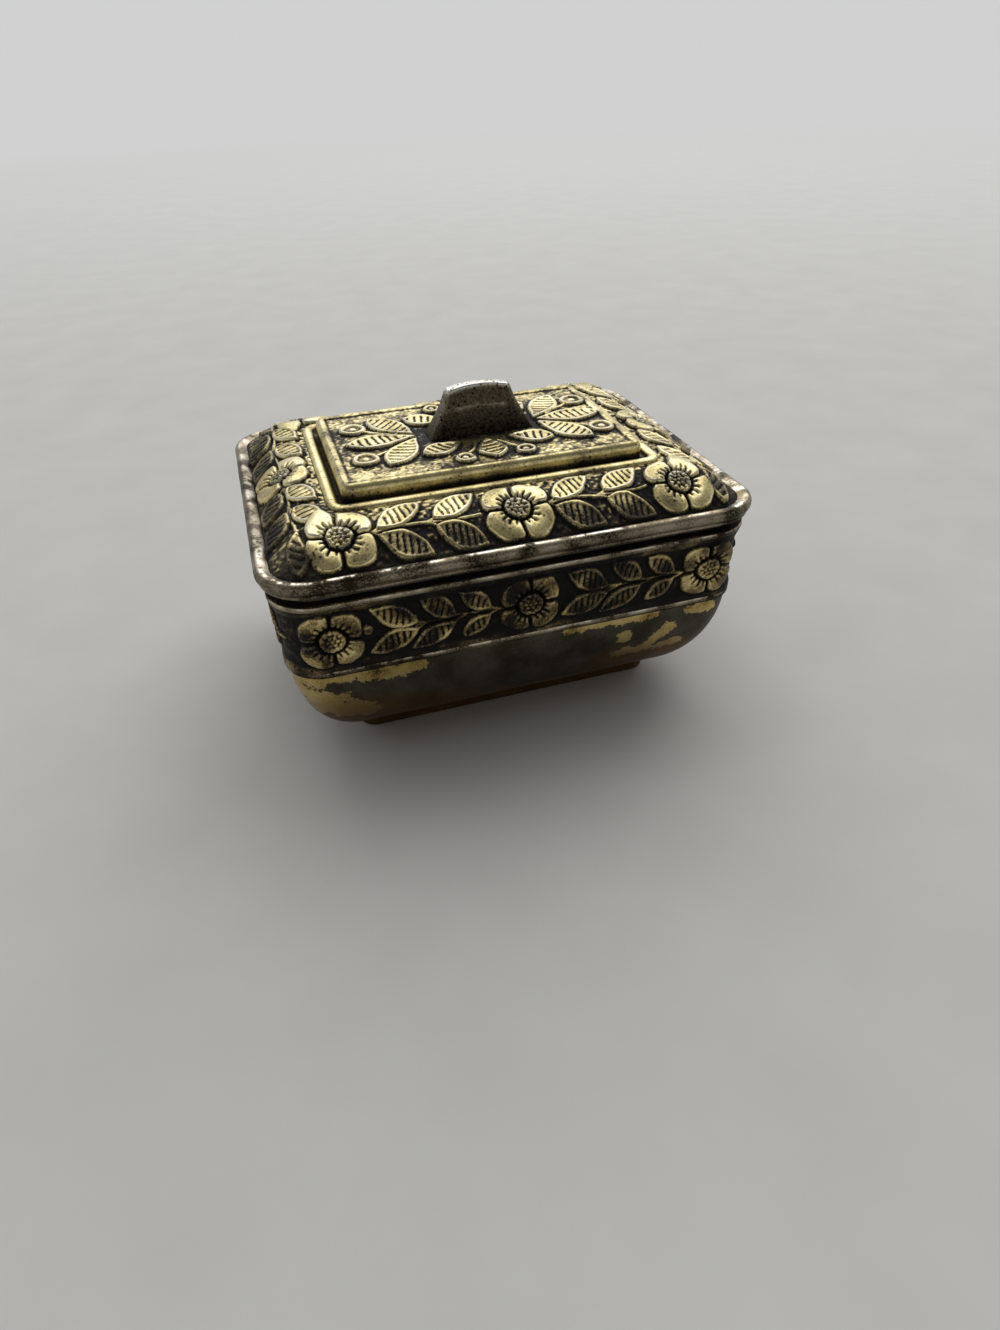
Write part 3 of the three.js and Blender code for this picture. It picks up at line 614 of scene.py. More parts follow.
lidBorder = {
    "corner": 5.65, "slopeDrop": 0.5, "rise": 4.3, "bulge": 1.1, "wall": 1.0, "seatWidth": 2.0,
    "frame": (55.2, 38.0, 3.1), "frameWidth": 1.9, "frameHeight": 0.65, "grooveDepth": 0.4,
    # places along the slope are from a side's middle, places up it from the flowers' middles
    "flowerRadius": 6.1, "flowerUp": 5.4, "cornerFlower": 27.1,
    "longLeaves": [-21.3, -12.9, 5.8, 14.2], "shortLeaves": [-20.5, -12.5, 5.8, 13.6],
    "leaf": (8.4, 4.7), "leafSpread": 30, "leafStart": 0.7, "hatchSlant": 20, "longHatch": 1.0,
    "shortHatch": 1.35, "cornerLeaf": (5.8, 4.2), "cornerLeafAt": (33.8, 0.55),
    # a leaf's stalk and its sprig's stem and tip: how far from the leaves' starts, and how much they bow
    "stalkBack": 1.8, "stalkOn": 0.9, "stalkUp": 1.2, "stalkBow": 0.25,
    "stemBack": 1.0, "stemOn": 0.4, "stemBow": 0.35, "tipShort": 1.2, "tipUp": 0.3, "tipBow": 0.2,
    "punch": [(0.16, 0.55), (0.08, 1.4)], "plainEdge": 0.03,
    "spans": (300, 220, 34), "slopeSteps": 62, "beadSteps": 12, "underSteps": 5,
    # tones of gilding: a base, and what a patch adds to it; the upper half's share is painted light
    "lowerGround": (0.22, 0.12), "upperGround": (0.38, 0.16), "upperBetween": (0.35, 0.8), "patchSize": 4.0,
    "petalTone": (0.8, 0.14), "leafTone": (0.5, 0.38), "litBetween": (0.2, 0.6), "punchRub": 1.7,
    "rubbedBetween": (-28.0, -33.0), "rubbedTone": 0.14, "rubbedGilt": 0.33, "rubbedGrain": [(0.1, 1.2)],
    "rimDarkening": 0.65, "rimDarkReach": 0.08, "discDark": 0.2, "discWorn": 0.42, "discGrain": [(0.2, 0.6)],
    "frameTone": (0.55, 0.42), "underTone": 0.3, "seatTone": 0.2, "deckTone": 0.45,
}


def borderHeights(plan, shapes, ups, points):
    look = lidBorder
    heights, petals, discs = np.zeros((3, len(shapes), len(plan[0])))
    cornerAlong, cornerUp = look["cornerLeafAt"]
    for isLong, reach, x, y in eachSide(plan, shapes, ups - look["flowerUp"], points):
        for start in [-look["cornerFlower"], 0, look["cornerFlower"]] if isLong else [0]:
            petals[:, reach] = np.maximum(petals[:, reach], flower(x - start, y, look["flowerRadius"]))
            discs[:, reach] = np.maximum(discs[:, reach], np.hypot(x - start, y) < reliefLook["discRadius"])
        starts = look["longLeaves" if isLong else "shortLeaves"]
        pitch = look["longHatch" if isLong else "shortHatch"]
        forms = []
        for way in (-1, 1):
            for start in starts:
                forms.append(leaf(
                    x - start, y - way * look["leafStart"], *look["leaf"],
                    way * look["leafSpread"], -way * look["hatchSlant"], pitch))
                stalkEnd = (start + look["stalkOn"], way * look["stalkUp"])
                forms.append(stem(x, y, (start - look["stalkBack"], 0), stalkEnd, -way * look["stalkBow"]))
            if isLong:
                forms.append(leaf(x - way * cornerAlong, y - cornerUp, *look["cornerLeaf"], -90, 0, pitch))
        for first, second in zip(starts[::2], starts[1::2]):
            stemEnd = (second + look["stemOn"], 0)
            tip = (second + look["leaf"][0] - look["tipShort"], look["tipUp"])
            forms.append(stem(x, y, (first - look["stemBack"], 0), stemEnd, look["stemBow"]))
            forms.append(stem(x, y, (second, 0), tip, -look["tipBow"]))
        heights[:, reach] = np.maximum(heights[:, reach], np.max(forms, axis=0))
    return np.maximum(heights, petals), petals > heights, discs


def borderWearAndLight(points, shares, relief, ground, isFlower, discs):
    look = lidBorder
    patch = 0.5 + 0.5 * grain(points, look["patchSize"])
    lower, upper = [tone + gain * patch for tone, gain in (look["lowerGround"], look["upperGround"])]
    # painted light: the ground lighter towards the top of the slope
    groundTone = lower + upper * smoothStep(*look["upperBetween"], shares)
    groundTone += look["punchRub"] * ground  # the tops of the punched ground are rubbed
    lit = smoothStep(*look["litBetween"], shares)  # painted light: the upper half lighter, the steep lower half darker, its leaves most of all
    rubbedEnd = smoothStep(*look["rubbedBetween"], points[..., 0]) * (1 - lit)
    groundTone += look["rubbedTone"] * rubbedEnd  # the left end has lost both its wax and its gold
    # painted light: petals and leaves lighter on the upper half, darker on the steep lower half
    petals, leaves = [dull + gain * lit for dull, gain in (look["petalTone"], look["leafTone"])]
    level = np.where(isFlower, petals, leaves) - look["rubbedTone"] * rubbedEnd
    gilt, worn = surfaceWearAndShade(relief, True, groundTone, level)
    gilt = np.maximum(gilt, rubbedEnd * (look["rubbedGilt"] + mottle(points, look["rubbedGrain"])))
    gilt *= 1 - look["rimDarkening"] * smoothStep(look["rimDarkReach"], 0, shares)  # darker along the foot of the slope, by the rim
    gilt -= look["discDark"] * discs
    # painted shade: crest wear shows only half as much on the steep lower half
    worn = np.maximum(worn * (1 + lit) / 2, discs * (look["discWorn"] + mottle(points, look["discGrain"])))
    return gilt, worn


def makeLidShell():
    look = lidBorder
    edge = footprint("lid_shell", look["corner"])
    frameShape = np.array(look["frame"])
    seat = boxOf("lid_shell")[0][2]
    slopeStart = boxOf("lid_rim")[1][2] - look["slopeDrop"]
    slopeEnd = slopeStart + look["rise"]
    deckTop = slopeEnd - look["grooveDepth"]
    plan = ringPlan(*look["spans"])

    under = np.linspace(1, 0, look["underSteps"] + 1)  # the hollow underside, from the deck down to the seat
    underShapes = blended(grown(edge, -look["seatWidth"]), grown(frameShape, -look["wall"]), under)
    underHeights = seat + (deckTop - look["wall"] - seat) * under + look["bulge"] * np.sin(math.pi * under)
    shares = np.linspace(0, 1, look["slopeSteps"] + 1)
    slopeShapes = blended(edge, frameShape, shares)
    slopeHeights = slopeStart + look["rise"] * shares + look["bulge"] * np.sin(math.pi * shares)
    bead = np.linspace(0, 1, look["beadSteps"] + 1)[1:]
    beadShapes = grown(frameShape, -look["frameWidth"] * (1 - np.cos(math.pi * bead)) / 2)
    beadHeights = slopeEnd + look["frameHeight"] * np.sin(math.pi * bead)
    groove = grown(frameShape, -(look["frameWidth"] + look["grooveDepth"]))

    run = (edge[1] - frameShape[1]) / 2
    ups = shares * math.hypot(run, look["rise"])
    points, ways = ringPoints(plan, slopeShapes, slopeHeights)
    relief, isFlower, discs = borderHeights(plan, slopeShapes, ups, points)
    ground = mottle(points, look["punch"])
    relief = punched(relief, ground, plainEdges(shares, look["plainEdge"]))
    steep = look["rise"] + look["bulge"] * math.pi * np.cos(math.pi * shares)
    normals = ways * steep[:, None, None] + np.array([0, 0, run])
    normals /= np.linalg.norm(normals, axis=-1, keepdims=True)
    slope = points + relief[..., None] * normals
    gilt, worn = borderWearAndLight(points, shares[:, None], relief, ground, isFlower, discs)
    frameTone, frameGain = look["frameTone"]
    shell = reliefPiece("lid_shell_stamped", [
        plainRows(plan, underShapes, underHeights, look["underTone"]),
        plainRows(plan, edge[None], [seat], look["seatTone"]),
        (slope, gilt, worn),
        plainRows(plan, beadShapes, beadHeights, frameTone + frameGain * np.sin(math.pi * bead)),
        plainRows(plan, groove[None], [deckTop], look["deckTone"])])
    keepPiece(shell, "lid", lidGilt, "lid_shell", smoothAngle=60)


makeLidShell()
print("lid shell made")


# Raised panel: a stippled plate with sprays of leaves round the handle

panelLook = {
    "corner": 1.6, "height": 2.7, "edgeRadius": 0.7, "spacing": 0.18,
    # sprays off the handle's two ends, then off its two faces: places out and aside from their shared middle
    "sprayOffset": 0.9, "hatch": 1.25, "hatchSlant": 12, "belly": 1.3,
    "sprays": [
        {"start": 10.6, "aside": 0.8, "leaf": (12.0, 5.5), "spread": 56, "bud": (20.4, 6.9), "budRadius": 2.3,
         "stalk": (13.5, 2.2), "stalkEnd": (19.2, 6.0), "bow": 0.3},
        {"start": 5.2, "aside": 4.0, "leaf": (8.0, 5.0), "spread": 66, "bud": (11.9, 5.0), "budRadius": 1.8,
         "stalk": (6.4, 1.9), "stalkEnd": (10.5, 4.6), "bow": 0.2}],
    "border": 1.7, "borderRise": 0.26, "lineInset": 1.75, "lineDepth": 0.1, "lineWidth": 0.18,
    "reliefBetween": (0.2, 0.7), "stipple": [(0.07, 0.42), (0.04, 0.9)], "stippleBetween": (1.6, 2.2),
    "stippleCovered": (0.05, 0.25), "stippleRub": 3.2,
    "groundTone": 0.74, "groundPatch": [(0.16, 3.0)], "level": 0.88, "waxFrom": 0.84, "waxDepth": 1.35,
    "handleShadowAndGrime": 0.6, "handleShadowReach": (2.4, 0.2), "handleShadowTorn": [(0.5, 1.6)],
    "edgeGilt": 0.85, "edgeInset": 0.5, "sideShade": 0.65, "sideBetween": (0.2, 1.6),
    "edgeWear": 0.5, "edgeWearInset": 0.45, "edgeWearWidth": 0.3,
}


def panelHeights(x, y):
    look = panelLook
    hatching = look["hatchSlant"], look["hatch"], look["belly"]
    forms = []
    for spray, out, aside in zip(look["sprays"], (x, y), (y, -x)):
        for way in (-1, 1):
            for place in (-1, 0, 1):
                along = out - way * spray["start"]
                across = aside - way * place * spray["aside"]
                degrees = 90 - 90 * way + place * spray["spread"]
                forms.append(leaf(along, across, *spray["leaf"], degrees, *hatching))
            for hand in (-1, 1):
                budOut, budAside = np.multiply(spray["bud"], (way, hand))
                stalk, stalkEnd = np.multiply([spray["stalk"], spray["stalkEnd"]], (way, hand))
                forms.append(bud(out - budOut, aside - budAside, spray["budRadius"]))
                forms.append(stem(out, aside, stalk, stalkEnd, spray["bow"]))
    return np.max(forms, axis=0)


def panelWearAndShade(points, relief, stipple, inside):
    look = panelLook
    groundTone = look["groundTone"] + mottle(points, look["groundPatch"]) + look["stippleRub"] * stipple
    gilt, worn = surfaceWearAndShade(np.clip(relief, 0, 1), False, groundTone, look["level"])
    gilt = look["waxFrom"] + look["waxDepth"] * (gilt - look["waxFrom"])
    handleLow, handleHigh = boxOf("handle")
    beyond = np.maximum(handleLow - points, points - handleHigh)[..., :2]
    fromHandle = np.linalg.norm(np.maximum(beyond, 0), axis=-1) + mottle(points, look["handleShadowTorn"])
    gilt -= look["handleShadowAndGrime"] * smoothStep(*look["handleShadowReach"], fromHandle)  # painted shadow and dirt round the handle's foot
    # painted shade: the panel's sides darken towards their foot at the groove
    sideGiltAndShade = look["edgeGilt"] - look["sideShade"] * smoothStep(*look["sideBetween"], -inside)
    gilt = np.where(inside < look["edgeInset"], sideGiltAndShade, gilt)
    worn = np.maximum(worn, look["edgeWear"] * bell(inside - look["edgeWearInset"], look["edgeWearWidth"]))
    return {"gilt": np.clip(gilt, 0, 1), "worn": np.clip(worn, 0, 1)}


def makePanel():
    look = panelLook
    shape = footprint("lid_panel", look["corner"])
    top = boxOf("lid_panel")[0][2] + look["height"]
    side = look["height"] - look["edgeRadius"]
    spread = shape[:2] / 2 + side  # the grid drapes over the edge and down the sides
    lines = [np.linspace(-reach, reach, int(2 * reach / look["spacing"])) for reach in spread]
    flat = np.stack(np.meshgrid(*lines), axis=-1)
    half = shape[:2] / 2 - look["corner"]
    core = np.clip(flat, -half, half)
    pull = look["corner"] / np.maximum(np.linalg.norm(flat - core, axis=-1), look["corner"])
    points = np.full(pull.shape + (3,), top)
    points[..., :2] = core + (flat - core) * pull[..., None]
    inside = insetFrom(flat, shape)
    strayAlong, strayUp = handCut(points)
    relief = panelHeights(flat[..., 0] - look["sprayOffset"] + strayAlong, flat[..., 1] + strayUp)
    stipple = mottle(points, look["stipple"])
    relief = punched(relief, stipple, smoothStep(*look["stippleBetween"], inside), look["stippleCovered"])
    relief -= look["lineDepth"] * bell(inside - look["lineInset"], look["lineWidth"])
    relief += look["borderRise"] * dome(2 * inside / look["border"] - 1)
    drop = look["edgeRadius"] * (1 - rounded(inside, look["edgeRadius"])) + np.clip(-inside, 0, side)
    points[..., 2] = top + relief * smoothStep(*look["reliefBetween"], inside) - drop
    fields = panelWearAndShade(points, relief, stipple, inside)
    panel = gridPiece("lid_panel_stamped", points, fields, ring=False, merge=0.02)
    keepPiece(panel, "lid", lidGilt, "lid_panel", smoothAngle=60)


makePanel()
print("lid panel made")


# Flower band round the body

bandLook = {
    "corner": 5.9, "taper": 0.5, "wall": 1.0, "flowerRadius": 5.6, "cornerFlower": 31.0,
    # a sprig's pairs of leaves: where they start, then length, width and spread of the upper and lower leaf
    "sprig": [
        (-17.9, (8.2, 4.3, 28), (8.4, 4.1, 20)), (-12.0, (7.0, 3.9, 38), (8.2, 3.7, 26)),
        (-6.3, (6.3, 3.6, 38), (5.8, 3.4, 33))],
    "sprigShift": 31.0, "leafStart": 0.6, "hatch": 0.95, "hatchSlant": 24,
    "dot": (-25.6, 0.8), "dotRadius": 0.9, "stalkBack": 1.6, "stalkOn": 0.2,
    "stemTip": 0.5, "stemEnd": (2.6, 0.1), "stemBow": 0.25,
    "cove": 0.5, "coveStart": 1.2, "coveEnd": 2.8, "punch": [(0.1, 0.5), (0.06, 1.3)], "plainEdge": 0.06,
    "groundTone": 0.23, "groundPatch": [(0.14, 3.0)], "punchRub": 1.6, "coveTone": 0.12,
    "coveGilt": (0.4, 0.3), "formTone": (0.6, 0.32), "wear": 0.8, "edgeTone": 0.2,
    # petals that have kept their gold: place, reach
    "gold": [
        ((-28.5, -31, 25.2), 2.8), ((-36, -29, 24.5), 3.2), ((2.8, -31, 30.2), 2.4), ((3.2, -31, 25), 2.4),
        ((28.5, -31, 25), 2.4), ((-37, -28, 22.4), 4.0), ((-39, 2, 25), 3.0), ((39, -3, 30), 3.0),
        ((4, 31, 26), 3.0), ((-32, 31, 29), 3.0)],
    "goldTorn": [(0.3, 1.0)], "goldFade": (1.3, 0.6),
    "goldElsewhere": 0.6, "goldPatch": 3.2, "goldBetween": (-0.1, 0.5),
    "spans": (350, 264, 40), "rows": 60,
}


def bandHeights(plan, shapes, ups, points):
    look = bandLook
    heights = np.zeros((len(shapes), len(plan[0])))
    tipStart = look["sprig"][0][0] - look["stemTip"]
    stemEnd = look["sprig"][-1][0] + look["stemEnd"][0]
    for isLong, reach, x, y in eachSide(plan, shapes, ups, points):
        flowers = [-look["cornerFlower"], 0, look["cornerFlower"]] if isLong else [0]
        forms = [flower(x - start, y, look["flowerRadius"]) for start in flowers]
        forms.append(bud(x - look["dot"][0], y - look["dot"][1], look["dotRadius"]))
        for shift in (0, look["sprigShift"]):
            for start, upper, lower in look["sprig"]:
                base = shift + start
                for way, (length, width, spread) in ((1, upper), (-1, lower)):
                    up = way * look["leafStart"]
                    hatching = way * look["hatchSlant"], look["hatch"]
                    forms.append(leaf(x - base, y - up, length, width, 180 - way * spread, *hatching))
                    forms.append(stem(x, y, (base + look["stalkBack"], 0), (base - look["stalkOn"], up)))
            end = (shift + stemEnd, look["stemEnd"][1])
            forms.append(stem(x, y, (shift + tipStart, 0), end, look["stemBow"]))
        heights[:, reach] = np.maximum(heights[:, reach], np.max(forms, axis=0))
    return heights


def bandWearAndShade(points, relief, ground, cove):
    look = bandLook
    groundTone = look["groundTone"] + mottle(points, look["groundPatch"])
    groundTone += look["punchRub"] * ground + look["coveTone"] * cove
    goldLeft = look["goldElsewhere"] * smoothStep(*look["goldBetween"], grain(points, look["goldPatch"]))
    torn = mottle(points, look["goldTorn"])
    for place, reach in look["gold"]:
        away = np.linalg.norm(points - np.array(place), axis=-1) / reach
        goldLeft = np.maximum(goldLeft, smoothStep(*look["goldFade"], away + torn))
    formLevel, coveLevel = [tone + gain * goldLeft for tone, gain in (look["formTone"], look["coveGilt"])]
    gilt, worn = surfaceWearAndShade(relief, True, groundTone, formLevel)
    return np.where(cove > 0.5, np.minimum(gilt, coveLevel), gilt), look["wear"] * worn


def makeBand():
    look = bandLook
    low, high = boxOf("body_band")
    tall = high[2] - low[2]
    bottomShape = footprint("bowl", look["corner"])
    topShape = grown(bottomShape, look["taper"])
    plan = ringPlan(*look["spans"])
    shares = np.linspace(0, 1, look["rows"] + 1)
    shapes = blended(bottomShape, topShape, shares)
    ups = tall * shares
    points, ways = ringPoints(plan, shapes, low[2] + ups)
    relief = bandHeights(plan, shapes, ups - tall / 2, points)
    toEdge = np.minimum(ups, tall - ups)[:, None]
    cove = smoothStep(look["coveEnd"], look["coveStart"], toEdge)  # the ground sweeps out to both wires
    relief = np.maximum(relief, look["cove"] * cove)
    ground = mottle(points, look["punch"])
    relief = punched(relief, ground, plainEdges(shares, look["plainEdge"]))
    gilt, worn = bandWearAndShade(points, relief, ground, cove)
    innerBottom = plainRows(plan, grown(bottomShape, -look["wall"])[None], [low[2]], look["edgeTone"])
    innerTop = plainRows(plan, grown(topShape, -look["wall"])[None], [high[2]], look["edgeTone"])
    outer = (points + relief[..., None] * ways, gilt, worn)
    band = reliefPiece("body_band_stamped", [innerBottom, outer, innerTop, innerBottom])
    keepPiece(band, "box", bandGiltShaded, "body_band", smoothAngle=60)


makeBand()
print("flower band made")


# Rim of the lid: a rolled bead with a thin lip under it

rimLook = {
    "corner": 8.0, "beadRadius": 1.0, "beadTurn": 120, "beadSteps": 18, "lipSetback": 0.5, "lipChamfer": 0.15,
    "innerSetback": 2.25, "nick": 0.12, "knockSize": 8.0, "knockDepth": 0.12,
    # rubbed bright along its crest, most of all in front
    "handledBetween": (-12.0, -29.0), "handledLeast": 0.3,
    "crestDepth": (0.9, 0.3), "crestInset": (0.55, 0.85),
}


def makeRim():
    look = rimLook
    low, high = boxOf("lid_rim")
    tall = high[2] - low[2]
    radius = look["beadRadius"]
    middle = (-radius, tall - radius)
    lip = -look["lipSetback"]
    lipAngle = -math.degrees(math.acos(1 - look["lipSetback"] / radius))
    neck = middle[1] + radius * math.sin(math.radians(lipAngle))
    profile = [
        (-look["innerSetback"], 0), (lip - look["lipChamfer"], 0), (lip, look["lipChamfer"]),
        (lip, neck - 2 * look["nick"]), (lip - look["nick"], neck - look["nick"]),
        *arc(middle, radius, lipAngle, look["beadTurn"], look["beadSteps"]),
        (-look["innerSetback"], tall - radius / 2)]
    rim = dent(sweep("lid_rim_rolled", "lid_rim", look["corner"], profile), look)
    places = placesOf(rim)
    inset = insetFrom(places, footprint("lid_rim", look["corner"])) / radius
    handled = blended(look["handledLeast"], 1, smoothStep(*look["handledBetween"], places[:, 1]))
    onTop = smoothStep(*look["crestDepth"], (high[2] - places[:, 2]) / radius)
    paint(rim, "worn", onTop * handled * smoothStep(*look["crestInset"], inset))
    keepPiece(rim, "lid", rimPlate, "lid_rim", smoothAngle=35)


makeRim()


# Half-round wires along the band's two edges

wireLook = {
    "corner": 6.9, "flat": 0.5, "steps": 10, "knockSize": 7.0, "knockDepth": 0.1, "wear": 0.25, "wornTo": 1.6,
}


def makeWire(node, name):
    look = wireLook
    low, high = boxOf(node)
    half = (high[2] - low[2]) / 2
    halfRound = arc((0, 0), 1, -90, 90, look["steps"])
    profile = [(look["flat"] * (out - 1), half * (1 + up)) for out, up in halfRound]
    wire = dent(sweep(name, node, look["corner"], profile), look)
    up = (placesOf(wire)[:, 2] - low[2]) / half
    paint(wire, "worn", look["wear"] * smoothStep(1, look["wornTo"], up))
    keepPiece(wire, "box", rimPlate, node, smoothAngle=50)


makeWire("band_upper_bead", "band_upper_wire")
makeWire("band_lower_bead", "band_lower_wire")


# Collar inside the band, which the lid drops over

collarLook = {"corner": 5.15, "wall": 0.8, "eased": 0.2, "easeSteps": 3}


def makeCollar():
    look = collarLook
    low, high = boxOf("collar")
    tall = high[2] - low[2]
    eased = look["eased"]
    profile = [
        (-look["wall"], 0), (0, 0),
        *arc((-eased, tall - eased), eased, 0, 90, look["easeSteps"]),
        *arc((eased - look["wall"], tall - eased), eased, 90, 180, look["easeSteps"])]
    strip = sweep("collar_strip", "collar", look["corner"], profile)
    keepPiece(strip, "box", collarPlate, "collar", smoothAngle=35)


makeCollar()
print("rim, wires and collar made")


# Foot: an upright ring that flares into the bowl

footLook = {
    "corner": 4.4, "wall": 1.8, "flare": 1.0, "flareSteps": 6,
    "eased": 0.25, "easeFrom": -67.5, "easeSteps": 3, "gilt": 0.3, "tarnish": 0.8,
}


def makeFoot():
    look = footLook
    low, high = boxOf("foot_ring")
    tall = high[2] - low[2]
    eased = look["eased"]
    flare = [(look["flare"] * (share ** 2 - 1), tall / 2 * (1 + share))
             for share in np.linspace(0, 1, look["flareSteps"] + 1)]
    profile = [
        (-look["flare"] - look["wall"], 0), (-look["flare"] - eased, 0),
        *arc((-look["flare"] - eased, eased), eased, look["easeFrom"], 0, look["easeSteps"]), *flare,
        (-look["flare"] - look["wall"], tall)]
    foot = sweep("foot_ring_turned", "foot_ring", look["corner"], profile)
    for label in ("gilt", "tarnish"):
        paint(foot, label, look[label])
    keepPiece(foot, "box", bowlMetal, "foot_ring", smoothAngle=40)


makeFoot()


# Bowl: full sides that curve in to the foot, with flakes of gilding left on them

bowlLook = {
    "topCorner": 5.9, "bottomCorner": 4.4, "fullness": 1.8, "wall": 1.0, "steps": 34, "spans": (150, 116, 14),
    "knockSize": 14.0, "knockDepth": 0.25,
    "leastGilt": 0.18, "mostGilt": 0.75, "giltFall": 0.25, "brownUpTo": 7.0,
    # lines along which gilding is left: from, to, how far it reaches on either side
    "gilding": [
        ((-37.6, -24, 19.5), (-33.5, -29, 14), 3.6), ((-33, -29, 13.5), (-27, -28, 11), 2.0),
        ((-36, -28.5, 20.8), (-18.5, -30.1, 20), 1.7), ((7, -30.1, 20.9), (22, -30.1, 20.5), 1.1),
        ((17.3, -29.7, 16.6), (17.7, -29.7, 16.2), 1.3), ((22.7, -29.1, 13.2), (25.3, -29.7, 16.4), 1.3),
        ((17, -28.8, 11.8), (28, -28.6, 11.8), 1.2), ((28.6, -30, 19.6), (32.8, -30, 19.6), 1.0),
        ((-37.9, -18, 20), (-37.9, 6, 18), 2.4), ((-36, 20, 13), (-34, 27, 9), 3.5),
        ((37.9, -20, 20.5), (37.9, -4, 19.5), 1.3), ((37, 6, 14), (36, 16, 11), 3.0),
        ((37, 24, 20), (30, 29.5, 17), 3.2), ((18, 30.1, 20.5), (-6, 30.1, 20), 1.5),
        ((-12, 29.5, 15), (-18, 29, 12), 2.4), ((-30, 29.6, 18), (-36, 26, 16), 3.0)],
    # and where it has gone brown
    "tarnished": [
        ((-32, -28.5, 11), (-12, -27, 7), 4.0), ((15, -28, 10), (29, -27.5, 9.5), 3.0),
        ((-20, 27, 8), (14, 27, 8), 4.0), ((36, -12, 9), (36, 10, 8), 3.5)],
}


def bowlCurve(angle):  # how far in and how far down its side goes, as shares
    power = 2 / bowlLook["fullness"]
    return 1 - np.cos(angle) ** power, np.sin(angle) ** power


def makeBowl():
    look = bowlLook
    low, high = boxOf("bowl")
    top = footprint("bowl", look["topCorner"])
    bottom = footprint("foot_ring", look["bottomCorner"])
    plan = ringPlan(*look["spans"])
    inward, down = bowlCurve(np.linspace(0, math.pi / 2, look["steps"] + 1))
    shapes = blended(top, bottom, inward)
    outerHeights = high[2] - (high[2] - low[2]) * down
    innerHeights = high[2] - (high[2] - low[2] - look["wall"]) * down
    outer = ringPoints(plan, shapes[::-1], outerHeights[::-1])[0]
    inner = ringPoints(plan, grown(shapes, -look["wall"]), innerHeights)[0]
    points = np.concatenate([outer, inner])
    gilt = np.full(points.shape[:2], look["leastGilt"])
    for start, end, reach in look["gilding"]:
        left = look["mostGilt"] - look["giltFall"] * awayFrom(points, start, end) / reach
        gilt = np.maximum(gilt, left)
    tarnish = smoothStep(low[2] + look["brownUpTo"], low[2], points[..., 2])
    for start, end, reach in look["tarnished"]:
        tarnish = np.maximum(tarnish, smoothStep(2 * reach, 0, awayFrom(points, start, end)))
    bowl = dent(gridPiece("bowl_spun", points, {"gilt": gilt, "tarnish": tarnish}), look)
    keepPiece(bowl, "box", bowlMetal, "bowl", smoothAngle=40)


makeBowl()
print("bowl and foot made")


# Handle: a tapered tab with hollow sides and a crowned top

handleLook = {
    "topLength": 11.0, "topThickness": 2.2, "crown": 0.8, "hollow": 1.35, "edgeRadius": 0.35, "edgeSteps": 5,
    "ease": 0.4, "easeSteps": 4, "topFrom": 0.9, "sideSlope": 0.6, "topSlope": 0.8, "slices": 24, "spans": 16,
    "knockSize": 2.5, "knockDepth": 0.12, "ridge": 0.22, "ridgeUp": 0.5, "ridgeBow": 0.1, "ridgeWidth": 0.05,
    # bright top edges round a tarnished middle; painted shade and dirt darken the foot, the ends are rubbed
    # and painted lighter as catching the light, and a painted highlight runs along the ridge
    "topWear": 0.78, "topWearDepth": 0.9, "tarnish": 0.62, "tarnishBetween": (0.85, 0.4),
    "footShadeAndDirt": 0.2, "footShadeBetween": (0.65, 0.05), "endRubAndSheen": 0.16, "endBetween": (-0.7, -0.1),
    "ridgeHighlight": 0.25, "ridgeHighlightReach": 0.5,
}


def halfAt(share, top, base):  # half the tab's length or thickness at a share of its height
    return (top + (base - top) * np.clip(1 - share, 0, 1) ** handleLook["hollow"]) / 2


def ridgeAt(share, fromMiddle):  # 1 along the crest of the bowed ridge on its two faces
    up = handleLook["ridgeUp"] + handleLook["ridgeBow"] * (1 - fromMiddle ** 2)
    return bell(share - up, handleLook["ridgeWidth"])


def cutTab(low, middle, length, thickness, tall):  # the tab as a straight block, cut across and along
    look = handleLook
    centre = (middle[0] * mm, middle[1] * mm, (low[2] + tall / 2) * mm)
    tab = startPiece("handle_cast", bpy.ops.mesh.primitive_cube_add, size=1, location=centre)
    bpy.ops.transform.resize(value=(length * mm, thickness * mm, tall * mm))
    bpy.ops.object.transform_apply(location=True, rotation=True, scale=True)
    bpy.ops.object.mode_set(mode="EDIT")
    bpy.ops.mesh.select_mode(type="EDGE")
    block = bmesh.from_edit_mesh(tab.data)
    for edge in block.edges:
        edge.select_set(bool(abs(edge.verts[0].co.z - edge.verts[1].co.z) > tall * mm / 2))
    bmesh.update_edit_mesh(tab.data)
    bpy.ops.mesh.bevel(
        offset=look["edgeRadius"] * mm, offset_type="OFFSET", segments=look["edgeSteps"], affect="EDGES")
    straight = length - 2 * look["edgeRadius"]
    heights = [low[2] + tall * step / look["slices"] for step in range(1, look["slices"])]
    alongs = [middle[0] + straight * (step / look["spans"] - 0.5) for step in range(1, look["spans"])]
    cuts = [((0, 0, height * mm), (0, 0, 1)) for height in heights]
    cuts += [((along * mm, 0, 0), (1, 0, 0)) for along in alongs]
    for place, normal in cuts:
        bpy.ops.mesh.select_all(action="SELECT")
        bpy.ops.mesh.bisect(plane_co=place, plane_no=normal)
    return tab


